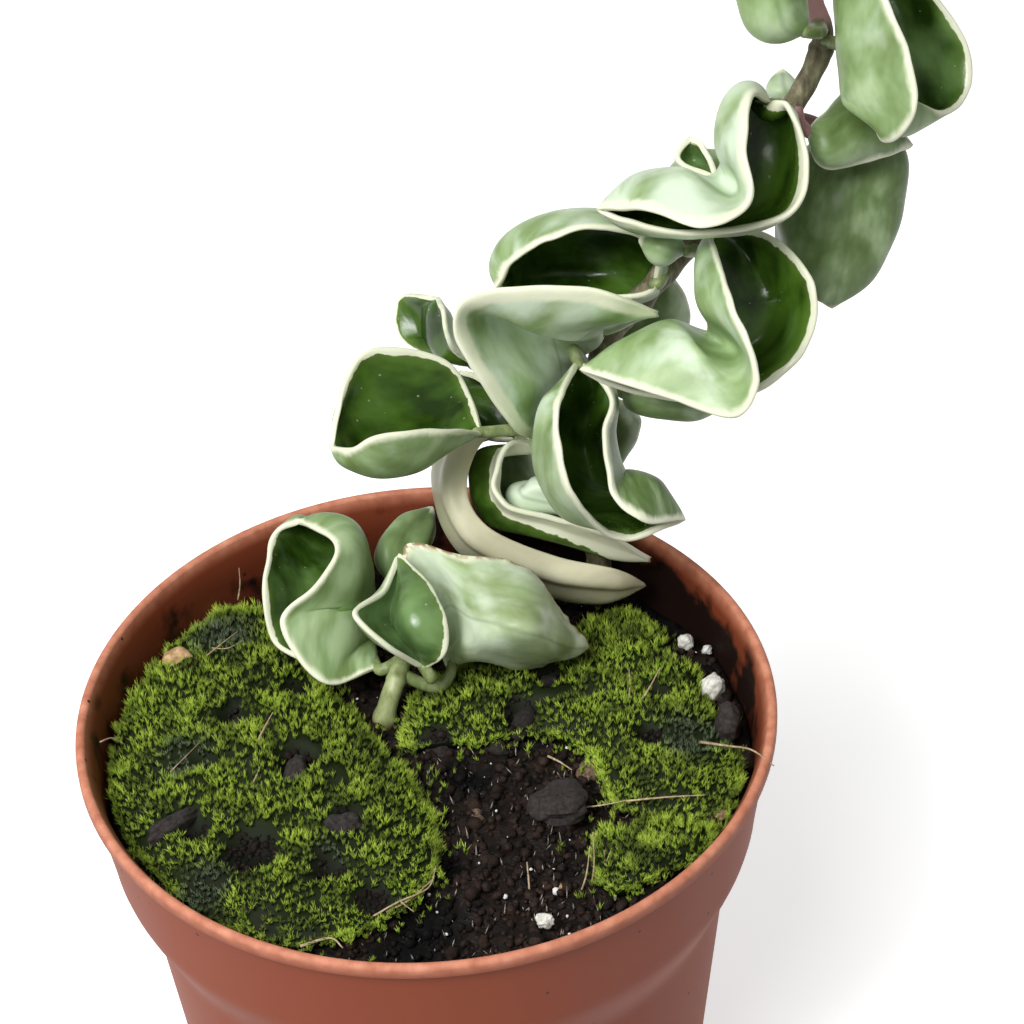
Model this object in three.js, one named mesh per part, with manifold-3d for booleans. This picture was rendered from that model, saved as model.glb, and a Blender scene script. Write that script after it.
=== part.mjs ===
// Variegated hindu rope plant in a round plastic nursery pot.
// Millimetres, +Z up. The origin is the centre of the pot's flat base, and -Y is the front.
import * as THREE from 'three';
import { mergeVertices } from 'three/addons/utils/BufferGeometryUtils.js';
import { ConvexGeometry } from 'three/addons/geometries/ConvexGeometry.js';
import Module from 'manifold-3d';

const wasm = await Module();
wasm.setup();

// Driving dimensions of the pot
const POT_HEIGHT = 90;
const RIM_RADIUS = 55;
const LIP_WIDTH = 1.6;
const LIP_DEPTH = 2.4;
const COLLAR_TOP_RADIUS = 54.2;
const COLLAR_FOOT_RADIUS = 52;
const COLLAR_HEIGHT = 18;
const STEP_HEIGHT = 16;
const BODY_TOP_RADIUS = 47.2;
const BASE_RADIUS = 42;
const BASE_CORNER = 1.5;
const WALL = 1.4;
const FLOOR = 2;
const DRAIN_HOLE_COUNT = 6;
const DRAIN_HOLE_RADIUS = 3.5;
const DRAIN_HOLE_CIRCLE = 25;
const POT_SIDES = 40;

// Driving dimensions of the soil and the moss
const CLEARANCE = 0.3;
const SOIL_DROP = 11;
const SOIL_FRONT_RISE = 1.5;
const SOIL_DOME = 1.5;
const SOIL_BUMP = 0.5;
const SOIL_SIDES = 40;
const SOIL_RINGS = 6;
const MOSS_SIDES = 26;
const MOSS_RINGS = 5;
const MOSS_SEAT = 0.8;
const MOSS_WALL_GAP = 1.4;
const BIT_SEAT = 0.55;

// Driving dimensions of the vine and its leaves
const VINE_FOOT_RADIUS = 2.3;
const VINE_TOP_RADIUS = 1.5;
const SHOOT_RADIUS = 1.7;
const STEM_SIDES = 8;
const LEAF_THICKNESS = 1.3;
const LEAF_EDGE_THICKNESS = 0.8;
const PETIOLE_RADIUS = 1.15;
const PETIOLE_SIDES = 5;
const HALF_COLUMNS = 3;
const SMALL_HALF_COLUMNS = 2;

// The view that the leaf and stem points are read in: a square 1024 px wide, looking down at the
// pot from the front. The sheet is a plane through the rim's centre that leans back with the view,
// and the third number of a point is its height in mm off that sheet, towards the eye.
const VIEW_CENTRE_PX = 512;
const VIEW_FOCAL_PX = 2858.9;
const VIEW_DISTANCE = 450;
const VIEW_TILT = THREE.MathUtils.degToRad(42.88);
const VIEW_YAW = THREE.MathUtils.degToRad(-2.03);
const VIEW_PITCH = THREE.MathUtils.degToRad(3.69);
const VIEW_ROLL = THREE.MathUtils.degToRad(4.66);

// The main vine and the side shoot, from below the soil upwards, in view points
const VINE_PATH = [
  [601, 640, -41], [600, 606, -37], [598, 545, -28], [594, 450, -14], [602, 350, 0],
  [645, 295, 5], [700, 230, 10], [745, 165, 14.5], [790, 110, 19], [822, 45, 25],
  [812, 0, 29], [802, -50, 33], [806, -90, 36],
];
const SHOOT_PATH = [
  [376, 765, -19], [384, 722, -12], [389, 700, -9.5], [396, 680, -9], [402, 662, -10.5],
  [410, 640, -14],
];

// Leaves seen from the front, in view points. Each row across the blade has its left margin, its
// rib and its right margin as one looks from the leaf's base to its tip at the underside, and how
// far, in mm, the left and the right half bow out between them. foot is where it leaves its stem.
const FRONT_LEAVES = {
  leaf_upper_fold: {
    stem: 'vine', foot: [790, 112, 19], base: [770, 104, 23], tip: [598, 210, 27],
    rows: [
      [[788, 104, 29], [742, 102, 21], [752, 98, 33], 4, 2.5],
      [[807, 158, 29], [732, 148, 20], [746, 147, 38], 5, 3],
      [[794, 212, 32], [714, 176, 22], [749, 203, 41], 5, -1.5],
      [[706, 233, 33], [682, 182, 21], [705, 229, 42], 4, 4.5],
      [[642, 224, 30], [640, 188, 21], [650, 212, 37], 4, 3.5],
    ],
  },
  leaf_middle_fold: {
    stem: 'vine', foot: [694, 238, 9], base: [710, 231, 17], tip: [580, 371, 25],
    rows: [
      [[770, 235, 19], [712, 252, 17], [717, 252, 29], 4, 2],
      [[815, 285, 24], [712, 300, 19], [734, 305, 40], 6, 3],
      [[806, 352, 20], [708, 335, 19], [757, 372, 41], 6, -1.5],
      [[742, 400, 18], [674, 324, 18], [737, 419, 36], 5, 6],
      [[660, 398, 19], [630, 343, 18], [662, 397, 32], 4, 5],
    ],
  },
  leaf_scoop: {
    stem: 'vine', foot: [596, 425, -10], base: [535, 440, 0], tip: [660, 314, 20],
    rows: [
      [[520, 428, -4], [545, 402, -5], [514, 430, 10], 3, 1.5],
      [[490, 372, -3], [568, 366, -2.5], [476, 377, 19], 4, 2.5],
      [[500, 332, -2], [590, 348, 4], [453, 326, 24], 4, -6],
      [[530, 324, -1], [600, 338, 7], [468, 295, 27], 3, 2.5],
      [[560, 322, 2], [604, 326, 12], [524, 286, 28], 3, 3],
      [[624, 318, 9], [628, 314, 15], [604, 291, 27], 1, 2.5],
    ],
  },
  leaf_hood: {
    stem: 'vine', foot: [668, 266, 7], base: [655, 284, 9], tip: [498, 288, 14],
    rows: [
      [[650, 292, 12], [645, 274, 4], [653, 246, 15], 2, 3],
      [[600, 298, 13], [598, 272, 0], [602, 227, 20], 4, 6],
      [[545, 297, 12], [545, 272, 1], [546, 241, 20], 4, 6],
      [[512, 290, 12], [515, 276, 5], [514, 262, 17], 2, 4],
    ],
  },
  leaf_tongue: {
    stem: 'vine', foot: [598, 385, -4], base: [578, 362, 9], tip: [684, 520, 7],
    rows: [
      [[610, 395, 12], [590, 392, 5], [562, 398, 20], 2, 4],
      [[605, 433, 13], [582, 445, -2], [559, 440, 22], 3, 5.5],
      [[611, 492, 15], [598, 488, -4], [575, 496, 20], 4, 5],
      [[645, 523, 15], [650, 500, -2], [617, 540, 9], 5, 1],
    ],
  },
  leaf_wing: {
    stem: 'vine', foot: [593, 456, -14.7], base: [482, 432, -6], tip: [331, 446, 6],
    rows: [
      [[458, 430, 5], [462, 437, -5], [472, 398, -4], 1, 1],
      [[417, 430, 11], [417, 456, -4], [444, 358, -2], 3.5, 1],
      [[375, 436, 13], [375, 462, -1], [375, 347, 2], 4, 1],
      [[350, 448, 10], [348, 457, 2], [345, 380, 5], 2, 1],
    ],
  },
  leaf_wing_back: {
    stem: 'vine', foot: [598, 402, -6.5], base: [478, 366, -19], tip: [438, 298, -17],
    rows: [
      [[404, 342, -25], [440, 356, -20], [450, 346, -12], 2, 2],
      [[399, 298, -25], [430, 324, -20], [442, 312, -11], 2, 2],
    ],
  },
  leaf_nook: {
    stem: 'vine', foot: [598, 415, -9], base: [512, 420, -16], tip: [460, 372, -16],
    rows: [
      [[476, 423, -17], [486, 412, -17], [510, 402, -13], 2, 2],
      [[454, 402, -16], [468, 394, -18], [488, 382, -13], 2, 2],
    ],
  },
  leaf_loop: {
    stem: 'vine', foot: [597, 512, -22], base: [553, 450, -16], tip: [652, 560, -21],
    rows: [
      [[512, 448, -9], [482, 454, -16], [532, 440, -28], 1.5, 3],
      [[495, 480, -7], [474, 488, -15.5], [538, 470, -31], 1.5, 4],
      [[507, 506, -7], [491, 522, -15], [548, 502, -32], 1.5, 4],
      [[550, 517, -9], [545, 536, -14.5], [570, 526, -32], 1, 3],
      [[604, 533, -12.5], [600, 553, -17.5], [612, 548, -28], 0.5, 1],
    ],
  },
  leaf_inner: {
    stem: 'vine', foot: [596, 492, -19], base: [566, 476, -20.5], tip: [606, 526, -16],
    rows: [
      [[520, 496, -16], [532, 488, -11.5], [546, 480, -12.5], 1.5, 1],
      [[552, 505, -16.5], [566, 499, -12], [580, 497, -12.5], 1.5, 1],
    ],
  },
  leaf_skirt: {
    stem: 'vine', foot: [598, 545, -27], base: [514, 429, -23], tip: [646, 584, -25],
    rows: [
      [[447, 447, -25], [452, 453, -15], [482, 443, -13], 1, 2],
      [[442, 496, -25], [444, 500, -14], [467, 489, -11], 1, 2],
      [[464, 552, -27], [470, 542, -15], [490, 528, -11], 1, 2],
      [[530, 586, -28.5], [532, 575, -19], [556, 556, -16], 1, 2],
      [[592, 600, -29], [600, 587, -21], [617, 569, -18.5], 1, 1.5],
    ],
  },
  leaf_drape: {
    stem: 'vine', foot: [775, 128, 16.5], base: [828, 128, 10], tip: [832, 307, 4],
    rows: [
      [[798, 160, 3], [858, 150, 12], [893, 155, 4], 3, 4],
      [[776, 215, 0], [848, 200, 13], [890, 200, 0], 4, 5],
      [[790, 275, 1], [842, 258, 10], [870, 258, 1], 3, 4],
    ],
  },
  leaf_bract: {
    stem: 'vine', foot: [796, 104, 20], base: [808, 132, 21], tip: [912, 146, 16],
    rows: [
      [[826, 168, 20], [830, 142, 23], [824, 116, 19], 1, 1],
      [[872, 160, 18], [868, 128, 21], [856, 88, 15], 1, 1],
    ],
  },
  leaf_crest: {
    stem: 'vine', foot: [822, 40, 25.5], base: [852, 66, 30], tip: [872, -78, 40],
    rows: [
      [[882, 142, 38], [862, 104, 29], [935, 110, 28], 5, 4],
      [[916, 116, 44], [856, 84, 27], [970, 92, 26], 6, 5],
      [[914, 66, 47], [852, 40, 28], [968, 44, 27], 6, 6],
      [[890, 4, 48], [852, -8, 31], [934, -8, 30], 5, 5],
      [[868, -50, 46], [850, -42, 34], [904, -52, 35], 3, 4],
    ],
  },
  leaf_crest_left: {
    stem: 'vine', foot: [817, 22, 27], base: [806, 32, 38], tip: [774, -72, 40],
    rows: [
      [[805, 8, 34], [786, 24, 42], [760, 16, 34], 1, 3],
      [[798, -28, 35], [776, -24, 45], [750, -20, 36], 1.5, 4],
      [[788, -58, 38], [772, -52, 44], [756, -52, 37], 1, 2],
    ],
  },
  leaf_peek_upper: {
    stem: 'vine', foot: [735, 180, 13], base: [716, 178, 12], tip: [690, 138, 10],
    rows: [[[677, 160, 12], [693, 162, 8], [708, 152, 12], 1, 1]],
  },
  leaf_peek_stem: {
    stem: 'vine', foot: [797, 100, 20], base: [788, 98, 15], tip: [782, 71, 13],
    rows: [[[797, 88, 12], [782, 88, 15], [768, 92, 12], 1, 1]],
  },
  leaf_small_middle: {
    stem: 'vine', foot: [690, 246, 8], base: [686, 251, 17], tip: [640, 240, 19],
    rows: [[[668, 234, 17], [665, 248, 21], [656, 262, 17], 1, 1]],
  },
  leaf_under_middle: {
    stem: 'vine', foot: [616, 330, 2], base: [622, 392, -2], tip: [718, 409, 3],
    rows: [
      [[636, 410, 1], [646, 400, 6], [654, 386, 2], 1, 1],
      [[688, 417, 2], [693, 408, 7], [700, 396, 3], 1, 1],
    ],
  },
  leaf_pot_left: {
    stem: 'shoot', foot: [404, 658, -11], base: [378, 668, -11], tip: [298, 522, -19],
    rows: [
      [[284, 652, -18], [370, 636, -21], [322, 684, -8], 3, 3],
      [[263, 602, -17], [370, 600, -25], [279, 622, -7], 4, 6],
      [[266, 562, -18], [362, 565, -26], [320, 580, -7], 4, 4],
      [[274, 533, -20], [336, 534, -24], [334, 545, -11], 3, 4],
    ],
  },
  leaf_pot_centre: {
    stem: 'shoot', foot: [409, 643, -13.5], base: [425, 668, -3], tip: [399, 553, -8],
    rows: [
      [[388, 646, 4], [412, 648, -4], [447, 652, 0], 1, -2],
      [[352, 613, 5], [392, 622, -5], [447, 618, 1], 1, -3.5],
      [[386, 590, -3], [398, 586, -7], [430, 585, -3], 1, -2],
    ],
  },
  leaf_pot_shell: {
    stem: 'shoot', foot: [398, 673, -9.5], base: [450, 674, -11], tip: [588, 646, -11],
    rows: [
      [[451, 668, -13], [456, 638, -9], [402, 550, -11], 1, -3],
      [[476, 660, -10], [484, 630, 2], [464, 555, -8], 1.2, -1],
      [[525, 667, -11.5], [532, 628, 5], [522, 566, -7], 1.2, 0.5],
      [[562, 655, -13], [566, 641, -4], [557, 608, -9], 1.2, 0],
    ],
  },
  leaf_pot_back: {
    stem: 'shoot', foot: [411, 638, -15], base: [402, 592, -26], tip: [432, 508, -31],
    rows: [
      [[420, 562, -25], [404, 556, -23], [376, 562, -25], 1, 2],
      [[434, 532, -29], [418, 528, -27], [392, 530, -29], 1, 2],
    ],
  },
};

// Leaves on the far side of the vine. Each hangs from a place along the vine, counted from 0 at its
// foot to 1 at its top, and turned round it from the side that faces the eye.
const BACK_LEAVES = [
  { along: 0.265, turn: 152, length: 20, width: 11, sway: 1, rising: false, seed: 2 },
  { along: 0.42, turn: 186, length: 16, width: 20, sway: -4, rising: false, seed: 3 },
  { along: 0.56, turn: 185, length: 19, width: 18, sway: 2, rising: false, seed: 4 },
  { along: 0.94, turn: 170, length: 22, width: 20, sway: 3, rising: true, seed: 6 },
  { along: 1.00, turn: 10, length: 17, width: 13, sway: 1, rising: true, seed: 7 },
];

// Moss cushions: outlines in mm round a centre on the soil, and the height of each at its centre
const MOSS = {
  moss_left: {
    centre: [-27, -4], height: 3.6, seed: 3,
    outline: [
      [-49.5, -8], [-44, -21], [-37, -31], [-30, -37], [-22, -41], [-14, -40], [-8, -36.5],
      [-3, -32.5], [-0.5, -26], [-1, -16], [-5, -6], [-9, 1], [-12, 8.5], [-17, 14], [-21, 24],
      [-26, 35], [-34, 37.5], [-43, 29], [-50, 14],
    ],
  },
  moss_right: {
    centre: [27, 5], height: 3.2, seed: 8,
    outline: [
      [-3.5, -0.5], [3, -1.5], [9, -1], [16, 0.5], [22, -2], [26, -7], [27.5, -12], [28.5, -17],
      [33, -20], [41, -21.5], [46, -18], [48.5, -8], [45.5, 2], [44, 12], [40, 21], [35.5, 28],
      [28, 25.5], [20, 18], [8, 17], [0, 12], [-3, 6],
    ],
  },
  moss_front: {
    centre: [32, -28], height: 2.4, seed: 5,
    outline: [
      [24.5, -25.5], [23.5, -30.5], [26, -35.5], [33, -33.5], [39.5, -29.5], [42.5, -24.3],
      [36, -23.3], [29, -22.3],
    ],
  },
};

// Loose bits that lie on the soil: place, half sizes, turn in degrees and a seed for their shape
const BITS = {
  pebble: { at: [-40.5, 25], size: [2.6, 2.1, 2.0], turn: 20, seed: 1, kind: 'stone' },
  perlite_right: { at: [46.5, 8], size: [2.3, 1.8, 1.9], turn: 40, seed: 2, kind: 'perlite' },
  perlite_back: { at: [43.5, 20], size: [1.4, 1.2, 1.3], turn: 0, seed: 3, kind: 'perlite' },
  perlite_front: { at: [15, -41], size: [1.5, 1.1, 1.2], turn: 10, seed: 4, kind: 'perlite' },
  bark_left: { at: [-40, -16], size: [5.2, 1.5, 2.4], turn: 35, seed: 5, kind: 'bark' },
  bark_centre: { at: [-21, -7], size: [3.6, 2.0, 2.6], turn: 78, seed: 6, kind: 'bark' },
  bark_front: { at: [-14, -20], size: [3.0, 2.4, 2.4], turn: 10, seed: 7, kind: 'bark' },
  bark_round: { at: [19, -18], size: [4.6, 4.2, 2.0], turn: 0, seed: 8, kind: 'bark' },
  bark_wall: { at: [47.5, -3], size: [2.2, 3.6, 3.2], turn: -10, seed: 9, kind: 'bark' },
  bark_shoot: { at: [21, 6], size: [2.8, 1.9, 1.7], turn: 15, seed: 10, kind: 'bark' },
};

const turnOf = THREE.MathUtils.degToRad;

// A repeatable number from 0 to 1 for a seed and a step
function drawn(seed, step) {
  const raw = Math.sin(seed * 127.1 + step * 311.7) * 43758.5453;
  return raw - Math.floor(raw);
}

function smooth(t) {
  const clamped = Math.min(1, Math.max(0, t));
  return clamped * clamped * (3 - 2 * clamped);
}

// The view's axes, turned from the sheet's axes by its yaw, pitch and roll
const sheetAcross = new THREE.Vector3(1, 0, 0);
const sheetRise = new THREE.Vector3(0, Math.sin(VIEW_TILT), Math.cos(VIEW_TILT));
const sheetOut = new THREE.Vector3(0, -Math.cos(VIEW_TILT), Math.sin(VIEW_TILT));
const rimCentre = new THREE.Vector3(0, 0, POT_HEIGHT);
const viewAcross = sheetAcross.clone().applyAxisAngle(sheetRise, VIEW_YAW);
const viewAhead = sheetOut.clone().negate().applyAxisAngle(sheetRise, VIEW_YAW);
const viewUp = sheetRise.clone().applyAxisAngle(viewAcross, VIEW_PITCH);
viewAhead.applyAxisAngle(viewAcross, VIEW_PITCH);
viewUp.applyAxisAngle(viewAhead, VIEW_ROLL);
viewAcross.applyAxisAngle(viewAhead, VIEW_ROLL);

// The place of a view point: along its line of sight to the given height off the sheet
function placeOf([x, y, out]) {
  const sight = viewAhead.clone();
  sight.addScaledVector(viewAcross, (x - VIEW_CENTRE_PX) / VIEW_FOCAL_PX);
  sight.addScaledVector(viewUp, (VIEW_CENTRE_PX - y) / VIEW_FOCAL_PX);
  const reach = (out - VIEW_DISTANCE) / sight.dot(sheetOut);
  return rimCentre.clone().addScaledVector(sheetOut, VIEW_DISTANCE).addScaledVector(sight, reach);
}

function curveThrough(points) {
  return new THREE.CatmullRomCurve3(points, false, 'catmullrom', 0.5);
}

function geometryOf(vertices, triangles) {
  const geometry = new THREE.BufferGeometry();
  const places = vertices.flatMap((vertex) => vertex.toArray());
  geometry.setAttribute('position', new THREE.Float32BufferAttribute(places, 3));
  geometry.setIndex(triangles.flat());
  return geometry;
}

// A solid for joining and cutting, from any closed geometry
function solidOf(geometry) {
  const bare = geometry.clone();
  bare.deleteAttribute('normal');
  bare.deleteAttribute('uv');
  const merged = mergeVertices(bare, 1e-4);
  const corners = merged.index.array;
  const kept = [];
  for (let i = 0; i < corners.length; i += 3) {
    const [a, b, c] = [corners[i], corners[i + 1], corners[i + 2]];
    if (a !== b && b !== c && c !== a) kept.push(a, b, c);
  }
  return new wasm.Manifold(new wasm.Mesh({
    numProp: 3,
    vertProperties: new Float32Array(merged.attributes.position.array),
    triVerts: new Uint32Array(kept),
  }));
}

function geometryFrom(solid) {
  const mesh = solid.getMesh();
  const geometry = new THREE.BufferGeometry();
  geometry.setAttribute('position', new THREE.Float32BufferAttribute(mesh.vertProperties, 3));
  geometry.setIndex(Array.from(mesh.triVerts));
  return geometry;
}

// A closed solid of stacked rings: each ring gives a point for an angle, and the ends are points
function ringGeometry(lowPoint, rings, highPoint, sides) {
  const vertices = [lowPoint];
  for (const ring of rings) {
    for (let k = 0; k < sides; k += 1) vertices.push(ring((2 * Math.PI * k) / sides));
  }
  vertices.push(highPoint);
  const last = vertices.length - 1;
  const triangles = [];
  for (let k = 0; k < sides; k += 1) {
    const next = (k + 1) % sides;
    triangles.push([0, 1 + next, 1 + k]);
    triangles.push([last, last - sides + k, last - sides + next]);
    for (let i = 0; i + 1 < rings.length; i += 1) {
      const low = 1 + i * sides;
      const high = low + sides;
      triangles.push([low + k, low + next, high + next]);
      triangles.push([low + k, high + next, high + k]);
    }
  }
  return geometryOf(vertices, triangles);
}

// A round stem along a curve, with its radius given along the curve from 0 to 1
function stemGeometry(curve, radiusAt, steps, sides) {
  const rings = [];
  let across = new THREE.Vector3(1, 0, 0);
  for (let i = 0; i <= steps; i += 1) {
    const t = i / steps;
    const centre = curve.getPoint(t);
    const along = curve.getTangent(t);
    across = across.clone().addScaledVector(along, -across.dot(along)).normalize();
    const side = across.clone();
    const other = new THREE.Vector3().crossVectors(along, side);
    const radius = radiusAt(t);
    rings.push((angle) => centre.clone()
      .addScaledVector(side, radius * Math.cos(angle))
      .addScaledVector(other, radius * Math.sin(angle)));
  }
  return ringGeometry(curve.getPoint(0), rings, curve.getPoint(1), sides);
}

// The grid of points over a blade: rows from base to tip, columns from left to right margin
function bladeGrid(leaf) {
  const ends = (key) => [leaf.base, ...leaf.rows.map((row) => row[key]), leaf.tip];
  const leftCurve = curveThrough(ends('left'));
  const ribCurve = curveThrough(ends('rib'));
  const rightCurve = curveThrough(ends('right'));
  const bows = [[0, 0], ...leaf.rows.map((row) => row.bow), [0, 0]];
  const bowCurve = curveThrough(bows.map(([a, b]) => new THREE.Vector3(a, b, 0)));
  const rowCount = 2 * (leaf.rows.length + 1);
  const columns = 2 * (leaf.rows.length > 2 ? HALF_COLUMNS : SMALL_HALF_COLUMNS);
  const grid = [];
  for (let i = 0; i <= rowCount; i += 1) {
    const t = i / rowCount;
    const left = leftCurve.getPoint(t);
    const rib = ribCurve.getPoint(t);
    const right = rightCurve.getPoint(t);
    const bow = bowCurve.getPoint(t);
    const before = Math.max(0, t - 1e-3);
    const after = Math.min(1, t + 1e-3);
    const along = (curve) => curve.getPoint(after).sub(curve.getPoint(before));
    const leftAlong = along(leftCurve).add(along(ribCurve));
    const rightAlong = along(rightCurve).add(along(ribCurve));
    const leftOut = left.clone().sub(rib).cross(leftAlong).normalize();
    const rightOut = rightAlong.cross(right.clone().sub(rib)).normalize();
    const leftMid = left.clone().add(rib).multiplyScalar(0.5).addScaledVector(leftOut, bow.x);
    const rightMid = right.clone().add(rib).multiplyScalar(0.5).addScaledVector(rightOut, bow.y);
    const section = curveThrough([left, leftMid, rib, rightMid, right]);
    const row = [];
    for (let j = 0; j <= columns; j += 1) row.push(section.getPoint(j / columns));
    grid.push(row);
  }
  return grid;
}

// Normals of the grid, towards the underside
function gridNormals(grid) {
  const rows = grid.length - 1;
  const columns = grid[0].length - 1;
  const at = (i, j) => grid[Math.min(rows, Math.max(0, i))][Math.min(columns, Math.max(0, j))];
  return grid.map((row, i) => row.map((point, j) => {
    const inner = Math.min(rows - 1, Math.max(1, i));
    const along = at(i + 1, j).clone().sub(at(i - 1, j));
    const across = at(inner, j + 1).clone().sub(at(inner, j - 1));
    return new THREE.Vector3().crossVectors(along, across).normalize();
  }));
}

// One cell of a blade between its two faces. A cell that a tight fold turns inside out is filled
// to the convex shape of its corners.
function cellGeometry(vertices) {
  const wedges = [
    [0, 1, 2, 4], [1, 2, 4, 5], [2, 4, 5, 6], [0, 2, 3, 4], [2, 3, 4, 7], [2, 4, 6, 7],
  ];
  const volumeOf = ([a, b, c, d]) => {
    const edges = [b, c, d].map((k) => vertices[k].clone().sub(vertices[a]));
    return edges[0].cross(edges[1]).dot(edges[2]) / 6;
  };
  if (wedges.some((wedge) => volumeOf(wedge) < -1e-5)) return new ConvexGeometry(vertices);
  const triangles = [[4, 5, 6], [4, 6, 7], [0, 2, 1], [0, 3, 2]];
  triangles.push([0, 1, 4], [1, 5, 4], [3, 7, 2], [2, 7, 6]);
  triangles.push([0, 4, 3], [3, 4, 7], [1, 2, 5], [2, 6, 5]);
  return geometryOf(vertices, triangles);
}

// The blade as one solid: closed cells of the grid, each between the two faces, joined side by side
function bladeSolid(grid, normals) {
  const rows = grid.length - 1;
  const columns = grid[0].length - 1;
  const middle = columns / 2;
  const corner = (i, j, face) => {
    const column = i === 0 || i === rows ? middle : j;
    const edge = Math.abs(column - middle) / middle;
    const swell = smooth(Math.min(i, rows - i) / 2) * (1 - edge * edge);
    const half = (LEAF_EDGE_THICKNESS + (LEAF_THICKNESS - LEAF_EDGE_THICKNESS) * swell) / 2;
    return grid[i][column].clone().addScaledVector(normals[i][column], half * face);
  };
  const cells = [];
  for (let i = 0; i < rows; i += 1) {
    for (let j = 0; j < columns; j += 1) {
      const vertices = [];
      for (const face of [-1, 1]) {
        vertices.push(corner(i, j, face), corner(i + 1, j, face));
        vertices.push(corner(i + 1, j + 1, face), corner(i, j + 1, face));
      }
      cells.push(solidOf(cellGeometry(vertices)));
    }
  }
  return wasm.Manifold.union(cells);
}

// The petiole: a short round stalk from its stem to the blade's rib
function petioleGeometry(leaf, grid) {
  const joined = grid[1][(grid[0].length - 1) / 2];
  const inward = leaf.base.clone().sub(joined).normalize();
  const reach = leaf.foot.distanceTo(leaf.base) * 0.35;
  const bend = leaf.base.clone().addScaledVector(inward, reach);
  const curve = curveThrough([leaf.foot, bend.lerp(leaf.foot, 0.25), leaf.base, joined]);
  return stemGeometry(curve, () => PETIOLE_RADIUS, 6, PETIOLE_SIDES);
}

// A leaf with its petiole, cut clear of the stem that it grows from
function leafSolid(leaf, stemCutter) {
  const grid = bladeGrid(leaf);
  const normals = gridNormals(grid);
  const petiole = solidOf(petioleGeometry(leaf, grid));
  return bladeSolid(grid, normals).add(petiole).subtract(stemCutter);
}

function leafFromView({ foot, base, tip, rows }) {
  return {
    foot: placeOf(foot),
    base: placeOf(base),
    tip: placeOf(tip),
    rows: rows.map(([left, rib, right, bowLeft, bowRight]) => ({
      left: placeOf(left),
      rib: placeOf(rib),
      right: placeOf(right),
      bow: [bowLeft, bowRight],
    })),
  };
}

// A folded leaf behind the vine: its rib lies along the vine and its halves cup away from it
function leafBehind({ along, turn, length, width, sway, rising, seed }, vine) {
  const anchor = vine.getPoint(along);
  const up = vine.getTangent(along);
  const front = sheetOut.clone().addScaledVector(up, -sheetOut.dot(up)).normalize();
  const out = front.applyAxisAngle(up, turnOf(turn));
  const side = new THREE.Vector3().crossVectors(up, out);
  const heading = rising ? 1 : -1;
  const place = anchor.clone();
  const point = (travel, reach, shift) => place.clone()
    .addScaledVector(up, heading * travel).addScaledVector(out, reach).addScaledVector(side, shift);
  const rows = [0.16, 0.45, 0.78].map((u, k) => {
    const half = (width / 2) * Math.sin(Math.PI * u ** 0.8);
    const reach = 5.5 + 3 * Math.sin(Math.PI * u);
    const shift = sway * u * u;
    const travel = length * u + (rising ? 2 : -3);
    const leftCup = half * (0.5 + 0.5 * drawn(seed, k));
    const rightCup = half * (0.5 + 0.5 * drawn(seed + 9, k));
    return {
      left: point(travel, reach + leftCup, shift - heading * half * 0.9),
      rib: point(travel, reach, shift),
      right: point(travel, reach + rightCup, shift + heading * half * 0.9),
      bow: [half * 0.25, half * 0.25],
    };
  });
  const base = point(rising ? 1.5 : -4, 5, 0);
  const tip = point(length + (rising ? 2 : -3), 8, sway * 1.4);
  return { foot: anchor.addScaledVector(up, rising ? -2 : 0), base, tip, rows };
}

// The soil's top: a low dome that is a little higher at the front, with soft bumps
function soilTop(x, y) {
  const inner = COLLAR_TOP_RADIUS - WALL;
  const dome = SOIL_DOME * (1 - (x * x + y * y) / (inner * inner));
  const lean = (-SOIL_FRONT_RISE * y) / inner;
  const bump = Math.sin(x * 0.23 + 1) * Math.cos(y * 0.19) + 0.6 * Math.sin(x * 0.41 - y * 0.37);
  return POT_HEIGHT - SOIL_DROP + dome + lean + SOIL_BUMP * bump;
}

function wallRadius(z) {
  const collarFoot = POT_HEIGHT - COLLAR_HEIGHT;
  const bodyTop = collarFoot - STEP_HEIGHT;
  if (z <= bodyTop) return BASE_RADIUS + (BODY_TOP_RADIUS - BASE_RADIUS) * (z / bodyTop);
  if (z >= collarFoot) {
    const rise = (z - collarFoot) / COLLAR_HEIGHT;
    return COLLAR_FOOT_RADIUS + (COLLAR_TOP_RADIUS - COLLAR_FOOT_RADIUS) * rise;
  }
  const rise = (z - bodyTop) / STEP_HEIGHT;
  return BODY_TOP_RADIUS + (COLLAR_FOOT_RADIUS - BODY_TOP_RADIUS) * smooth(rise);
}

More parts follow.
